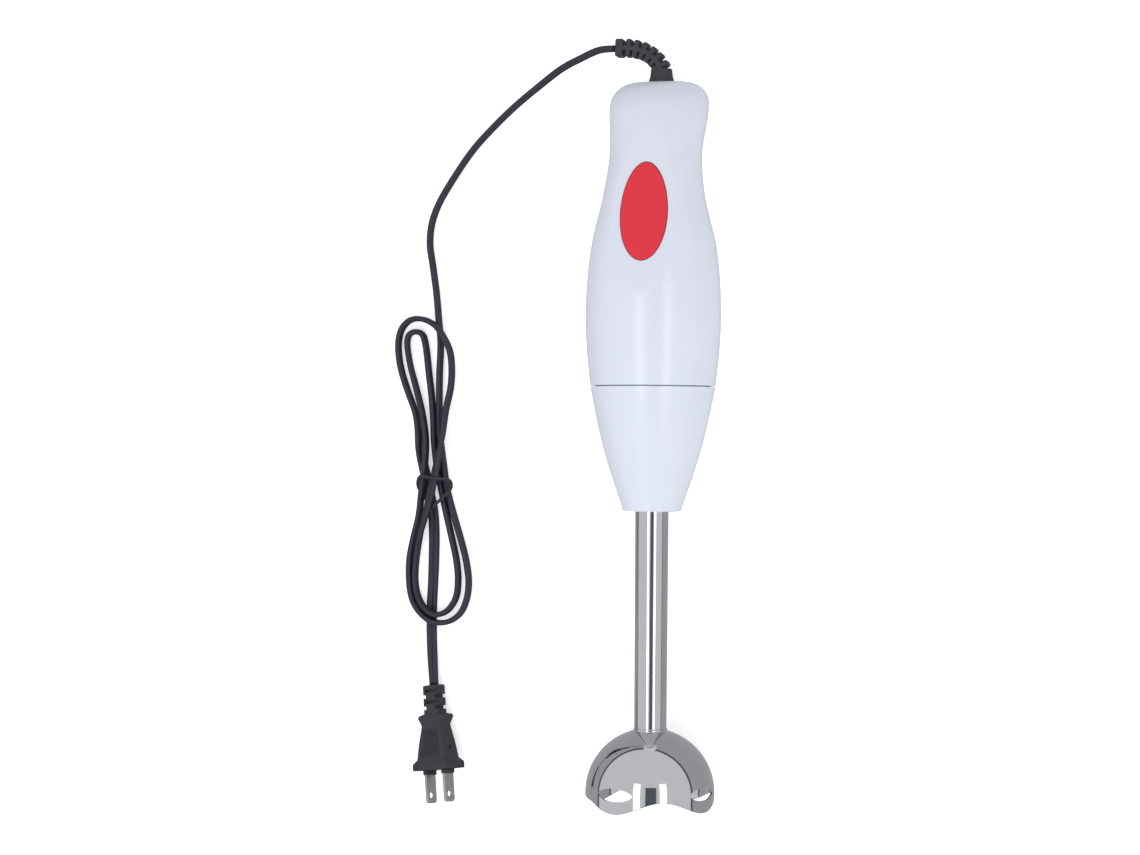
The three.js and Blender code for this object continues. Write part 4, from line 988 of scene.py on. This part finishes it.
bell_rows = [(radius, bell_top + rise, 0)
             for radius, rise in ((3.2, 0.7), (5.5, 0.7), (7.7, 0.7), (8.0, 0.6), (8.1, 0.3))]
for i in range(45):
    dome_turn = neck_turn + (math.asin(7 / bell_dome_height) - neck_turn) * i / 44
    bell_rows.append((bell_radius * math.cos(dome_turn),
                      bell_middle + bell_dome_height * math.sin(dome_turn), 0))
bell_rows += [(0, 0, i / 22) for i in range(1, 23)]
bell = skin("bell_guard", bell_rows, 216, bell_point)
facing_out(bell, Vector((0, (bell_middle - 3) * mm, axis_z)))
modify(bell, "SOLIDIFY", thickness=bell_wall * mm, offset=-1, use_even_offset=True)
modify(bell, "BEVEL", width=0.3 * mm, segments=3, limit_method="ANGLE", angle_limit=math.radians(55))
bpy.ops.object.select_all(action="DESELECT")
bpy.ops.mesh.primitive_cylinder_add(vertices=96, radius=1, depth=2)
window = settle(bpy.context.object)
for vertex in window.data.vertices:                # a lens with drawn-out ends
    turn = math.atan2(vertex.co.y, vertex.co.x)
    rise = math.copysign(abs(math.sin(turn)) ** 1.3, math.sin(turn))
    vertex.co = Vector((9.8 * math.cos(turn), window_y + 3.15 * rise, 30 + 10 * vertex.co.z)) * mm
for i in range(4):
    around = Matrix.Translation(Vector((0, 0, axis_z))) @ Matrix.Rotation(lobe_turn + i * math.pi / 2, 4, "Y")
    cut(bell, placed_copy(window, around, "window"))
bpy.data.objects.remove(window)
weld_profile = [(radius, bell_top + rise)
                for radius, rise in ((7.6, 1.0), (8.0, 0.92), (8.14, 0.72), (8.0, 0.5), (7.6, 0.45))]
weld = turned("weld", weld_profile, 96, centre=(0, 0, axis_mm))
smoothed(bell, 32)
bell = joined("bell_guard", bell, weld)

mirror = Finish("mirror_stainless")
mist = mirror.grain(mirror.place(), 60, 5, 0.6)
rings = mirror.grain(mirror.place(scale=(5, 420, 5)), 1, 3)
nicks = mirror.grain(mirror.place(), 1500, 2).above(0.75)
mirror.surface(
    Base_Color=mirror.between(mist, (0.60, 0.60, 0.61), (0.68, 0.675, 0.68)),
    Metallic=1.0,
    Roughness=0.025 + 0.045 * mist + 0.02 * rings + 0.1 * nicks,
    Normal=mirror.bump(rings * 0.6 + mist * 0.4, 0.00001, 0.3),
)
bell.data.materials.append(mirror.material)
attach(bell, "root")
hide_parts("blade_guard")

# ---- Blade, its nut and the drive shaft ----------------------------------------------------------
# A two-winged stainless blade, its wings bent and ground to an edge, held on the 5 mm drive shaft by
# a thin nut. A rubber lip seal above it keeps liquid out of the tube.
blade_y = -161.75
nut_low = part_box("blade_nut")[0].y / mm
hub_profile = [(radius, blade_y + rise)
               for radius, rise in ((2.8, -0.6), (4.8, -0.6), (5.0, -0.4), (5.0, 0.4), (4.8, 0.6), (2.8, 0.6))]
hub = turned("hub", hub_profile, 64)
wing = block("wing", (3.6, -0.6, -4), (20.8, 0.6, 3))
edited(wing, lambda: bpy.ops.mesh.subdivide(number_cuts=6))
for vertex in wing.data.vertices:
    reach = (vertex.co.x / mm - 3.6) / 17.2
    ground = max(0.0, (vertex.co.z / mm - 0.2) / 2.8) * min(1, reach * 4)
    vertex.co.y *= 1 - 0.86 * ground               # ground edge
    vertex.co.z *= 0.74 + 0.26 * math.sin(math.pi * min(1, reach + 0.25))
    vertex.co.y += (1.5 * math.sin(math.pi / 2 * max(0, reach - 0.25)) * mm)
    vertex.co.z += 0.8 * reach * reach * mm
wing.data.transform(Matrix.Rotation(0.26, 4, "X"))
softened(wing, 0.08, 2, 40)
at_the_hub = Matrix.Translation((0, blade_y * mm, 0))
wings = [placed_copy(wing, at_the_hub @ Matrix.Rotation(turn, 4, "Y"), "wing") for turn in (0, math.pi)]
bpy.data.objects.remove(wing)
blade = joined("blade_steel", hub, *wings)
blade.data.transform(Matrix.Translation((0, 0, axis_z)))
smoothed(blade, 35)

bpy.ops.object.select_all(action="DESELECT")
bpy.ops.mesh.primitive_cylinder_add(vertices=6, radius=4.6 * mm, depth=2.7 * mm, rotation=(math.pi / 2, 0, 0),
                                    location=(0, (nut_low + 1.35) * mm, axis_z))
nut = settle(bpy.context.object)
nut.name = "blade_nut_steel"
to_axis = Matrix.Translation((0, 0, axis_z))
nut.data.transform(to_axis @ Matrix.Rotation(math.pi / 6, 4, "Y") @ to_axis.inverted())
cut(nut, rod("bore", 2.8, (0, nut_low - 2, axis_mm), (0, nut_low + 5, axis_mm), 40))
softened(nut, 0.3, 3, 30)

shaft_low, shaft_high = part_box("drive_shaft")[0].y / mm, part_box("drive_shaft")[1].y / mm
thread = [(2.5 - 0.18 * (i % 2), shaft_low + 0.6 + 0.4 * i) for i in range(11)]
shaft = turned("drive_shaft_steel", [
    (0.2, shaft_low + 0.05), (2.1, shaft_low), *thread, (2.5, shaft_low + 5.2), (2.5, shaft_high - 0.4),
    (2.2, shaft_high), (0.2, shaft_high),
], 48, centre=(0, 0, axis_mm))
seal_low, seal_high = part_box("shaft_seal")[0].y / mm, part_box("shaft_seal")[1].y / mm
seal = turned("shaft_seal_lip", [
    (2.85, seal_low), (3.6, seal_low), (4.1, seal_low + 0.5), (5.6, seal_low + 0.4), (6.0, seal_low + 0.8),
    (6.0, seal_high), (2.85, seal_high),
], 64, centre=(0, 0, axis_mm))
for piece, body, finish, slot, node in (
    (blade, "blade_shaft", polish, "polished_steel", "blade"),
    (nut, "blade_shaft", polish, "polished_steel", "blade_nut"),
    (shaft, "blade_shaft", polish, "polished_steel", "drive_shaft"),
    (seal, "root", supple, "black_rubber", "shaft_seal"),
):
    piece.data.materials.append(finish.material)
    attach(piece, body)
    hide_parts(node)


def refinish(finish, *names):
    """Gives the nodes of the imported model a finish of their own."""
    for name in names:
        mesh = nodes[name].data
        mesh.materials.clear()
        mesh.materials.append(finish.material)


# ---- Screws, springs and bolts -------------------------------------------------------------------
# Small steel hardware, zinc plated, with the cloudy grey of passivated plating. The button's
# spring is squashed as the button goes in.
zinc = Finish("zinc_plate")
spangle = zinc.grain(zinc.place(), 700, 4, 0.6)
worn = zinc.grain(zinc.place(), 2200, 3)
zinc.surface(
    Base_Color=zinc.between(spangle, (0.40, 0.41, 0.42), (0.62, 0.62, 0.60)),
    Metallic=1.0,
    Roughness=0.28 + 0.22 * spangle,
    Normal=zinc.bump(worn, 0.00004, 0.4),
)
refinish(zinc, "upper_screw_left", "upper_screw_right", "lower_screw_left", "lower_screw_right", "clamp_screw_left",
         "clamp_screw_right", "motor_bolt_left", "motor_bolt_right", "button_spring", "brush_spring_left",
         "brush_spring_right", "motor_shaft")
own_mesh(nodes["button_spring"])

# ---- Motor iron ----------------------------------------------------------------------------------
# Stator and armature, stacked from 0.5 mm electrical steel sheets that run across the axis.
sheets = Finish("lamination_stack")
layer = (sheets.along(sheets.place(), "Y") * (math.tau / 0.0005)).wave()
blueing = sheets.grain(sheets.place(), 160, 4)
sheets.surface(
    Base_Color=sheets.between(blueing, (0.075, 0.080, 0.095), (0.17, 0.165, 0.16)),
    Metallic=0.85,
    Roughness=0.42 + 0.12 * blueing,
    Normal=sheets.bump(layer, 0.00004, 0.7),
)
refinish(sheets, "stator_core", "armature_core")

# ---- Windings and commutator ---------------------------------------------------------------------
# Enamelled copper wire in bundles, and the hard-drawn copper of the commutator's segments.
wire = Finish("enamelled_copper")
strand_place = wire.place()
strands = ((wire.along(strand_place, "X") + wire.along(strand_place, "Z") * 0.8) * (math.tau / 0.0006)
           + 5 * wire.grain(wire.place(), 240, 2)).wave()
varnish = wire.grain(wire.place(), 300, 3)
wire.surface(
    Base_Color=wire.between(varnish, (0.40, 0.13, 0.045), (0.62, 0.24, 0.085)),
    Metallic=0.9,
    Roughness=0.28 + 0.14 * varnish,
    Normal=wire.bump(strands, 0.00012, 0.8),
)
refinish(wire, "field_coil_front", "field_coil_rear", "winding_upper", "winding_lower")
segments = Finish("commutator_copper")
around_axis = segments.place(centre=(0, 0, -axis_z))
scored = segments.grain(segments.place(scale=(20, 3000, 20)), 1, 2)
heat = segments.grain(around_axis, 180, 3)
segments.surface(
    Base_Color=segments.between(heat, (0.50, 0.20, 0.10), (0.70, 0.34, 0.18)),
    Metallic=1.0,
    Roughness=0.24 + 0.2 * scored,
    Normal=segments.bump(scored, 0.00003, 0.5),
)
refinish(segments, "commutator")

# ---- Bushes, bearings and brush holders ----------------------------------------------------------
# Sintered bronze bushes and bearings, dull and slightly porous, and pressed brass holders and collar.
sinter = Finish("sintered_bronze")
pores = sinter.grain(sinter.place(), 3000, 3)
oiled = sinter.grain(sinter.place(), 200, 4)
sinter.surface(
    Base_Color=sinter.between(oiled, (0.34, 0.21, 0.085), (0.56, 0.38, 0.17)),
    Metallic=0.95,
    Roughness=0.32 + 0.2 * pores,
    Normal=sinter.bump(pores, 0.00005, 0.6),
)
refinish(sinter, "bearing_upper", "bearing_lower", "bush_upper", "bush_lower", "tube_collar", "brush_holder_left",
         "brush_holder_right")

# ---- Carbon brushes and the rectifier ------------------------------------------------------------
# Pressed carbon blocks that wear to a satin face, and the black epoxy case of the rectifier.
coal = Finish("pressed_carbon")
flecks = coal.grain(coal.place(), 2800, 4, 0.7)
coal.surface(
    Base_Color=coal.between(flecks, (0.010, 0.010, 0.011), (0.040, 0.040, 0.043)),
    Metallic=0.15,
    Roughness=0.52 + 0.2 * flecks,
    Normal=coal.bump(flecks, 0.00004, 0.5),
)
refinish(coal, "carbon_brush_left", "carbon_brush_right", "rectifier")

# ---- Nylon mouldings -----------------------------------------------------------------------------
# Fan, bearing bridges, couplers, cord clamp, switch and the capacitor's dipped case, in natural
# nylon that is slightly cloudy.
nylon = Finish("natural_nylon")
flow = nylon.grain(nylon.place(scale=(1, 0.4, 1)), 130, 4)
mould_skin = nylon.grain(nylon.place(), 1800, 2)
nylon.surface(
    Base_Color=nylon.between(flow, (0.60, 0.56, 0.46), (0.74, 0.71, 0.62)),
    Roughness=0.38 + 0.14 * flow,
    Normal=nylon.bump(mould_skin, 0.00004, 0.4),
)
refinish(nylon, "cooling_fan", "bearing_bridge_upper", "bearing_bridge_lower", "motor_coupler", "shaft_coupler",
         "cord_clamp", "switch_body", "capacitor")
refinish(satin, "switch_plunger")
refinish(supple, "motor_cushion")
refinish(sheath, "inner_lead")

# ---- Circuit board -------------------------------------------------------------------------------
# Green glass-epoxy laminate with wide tinned tracks that show through the solder mask.
laminate = Finish("board_mask")
board_place = laminate.place()
tracks = ((laminate.along(board_place, "X") * (math.tau / 0.0052)).wave()
          + 0.8 * laminate.grain(board_place, 120, 1)).above(0.75)
weave = laminate.grain(board_place, 2600, 1)
laminate.surface(
    Base_Color=laminate.between(tracks, (0.012, 0.080, 0.035), (0.045, 0.17, 0.075)),
    Roughness=0.30 + 0.12 * weave,
    Normal=laminate.bump(tracks * 0.8 + weave * 0.2, 0.00004, 0.6),
)
refinish(laminate, "circuit_board")
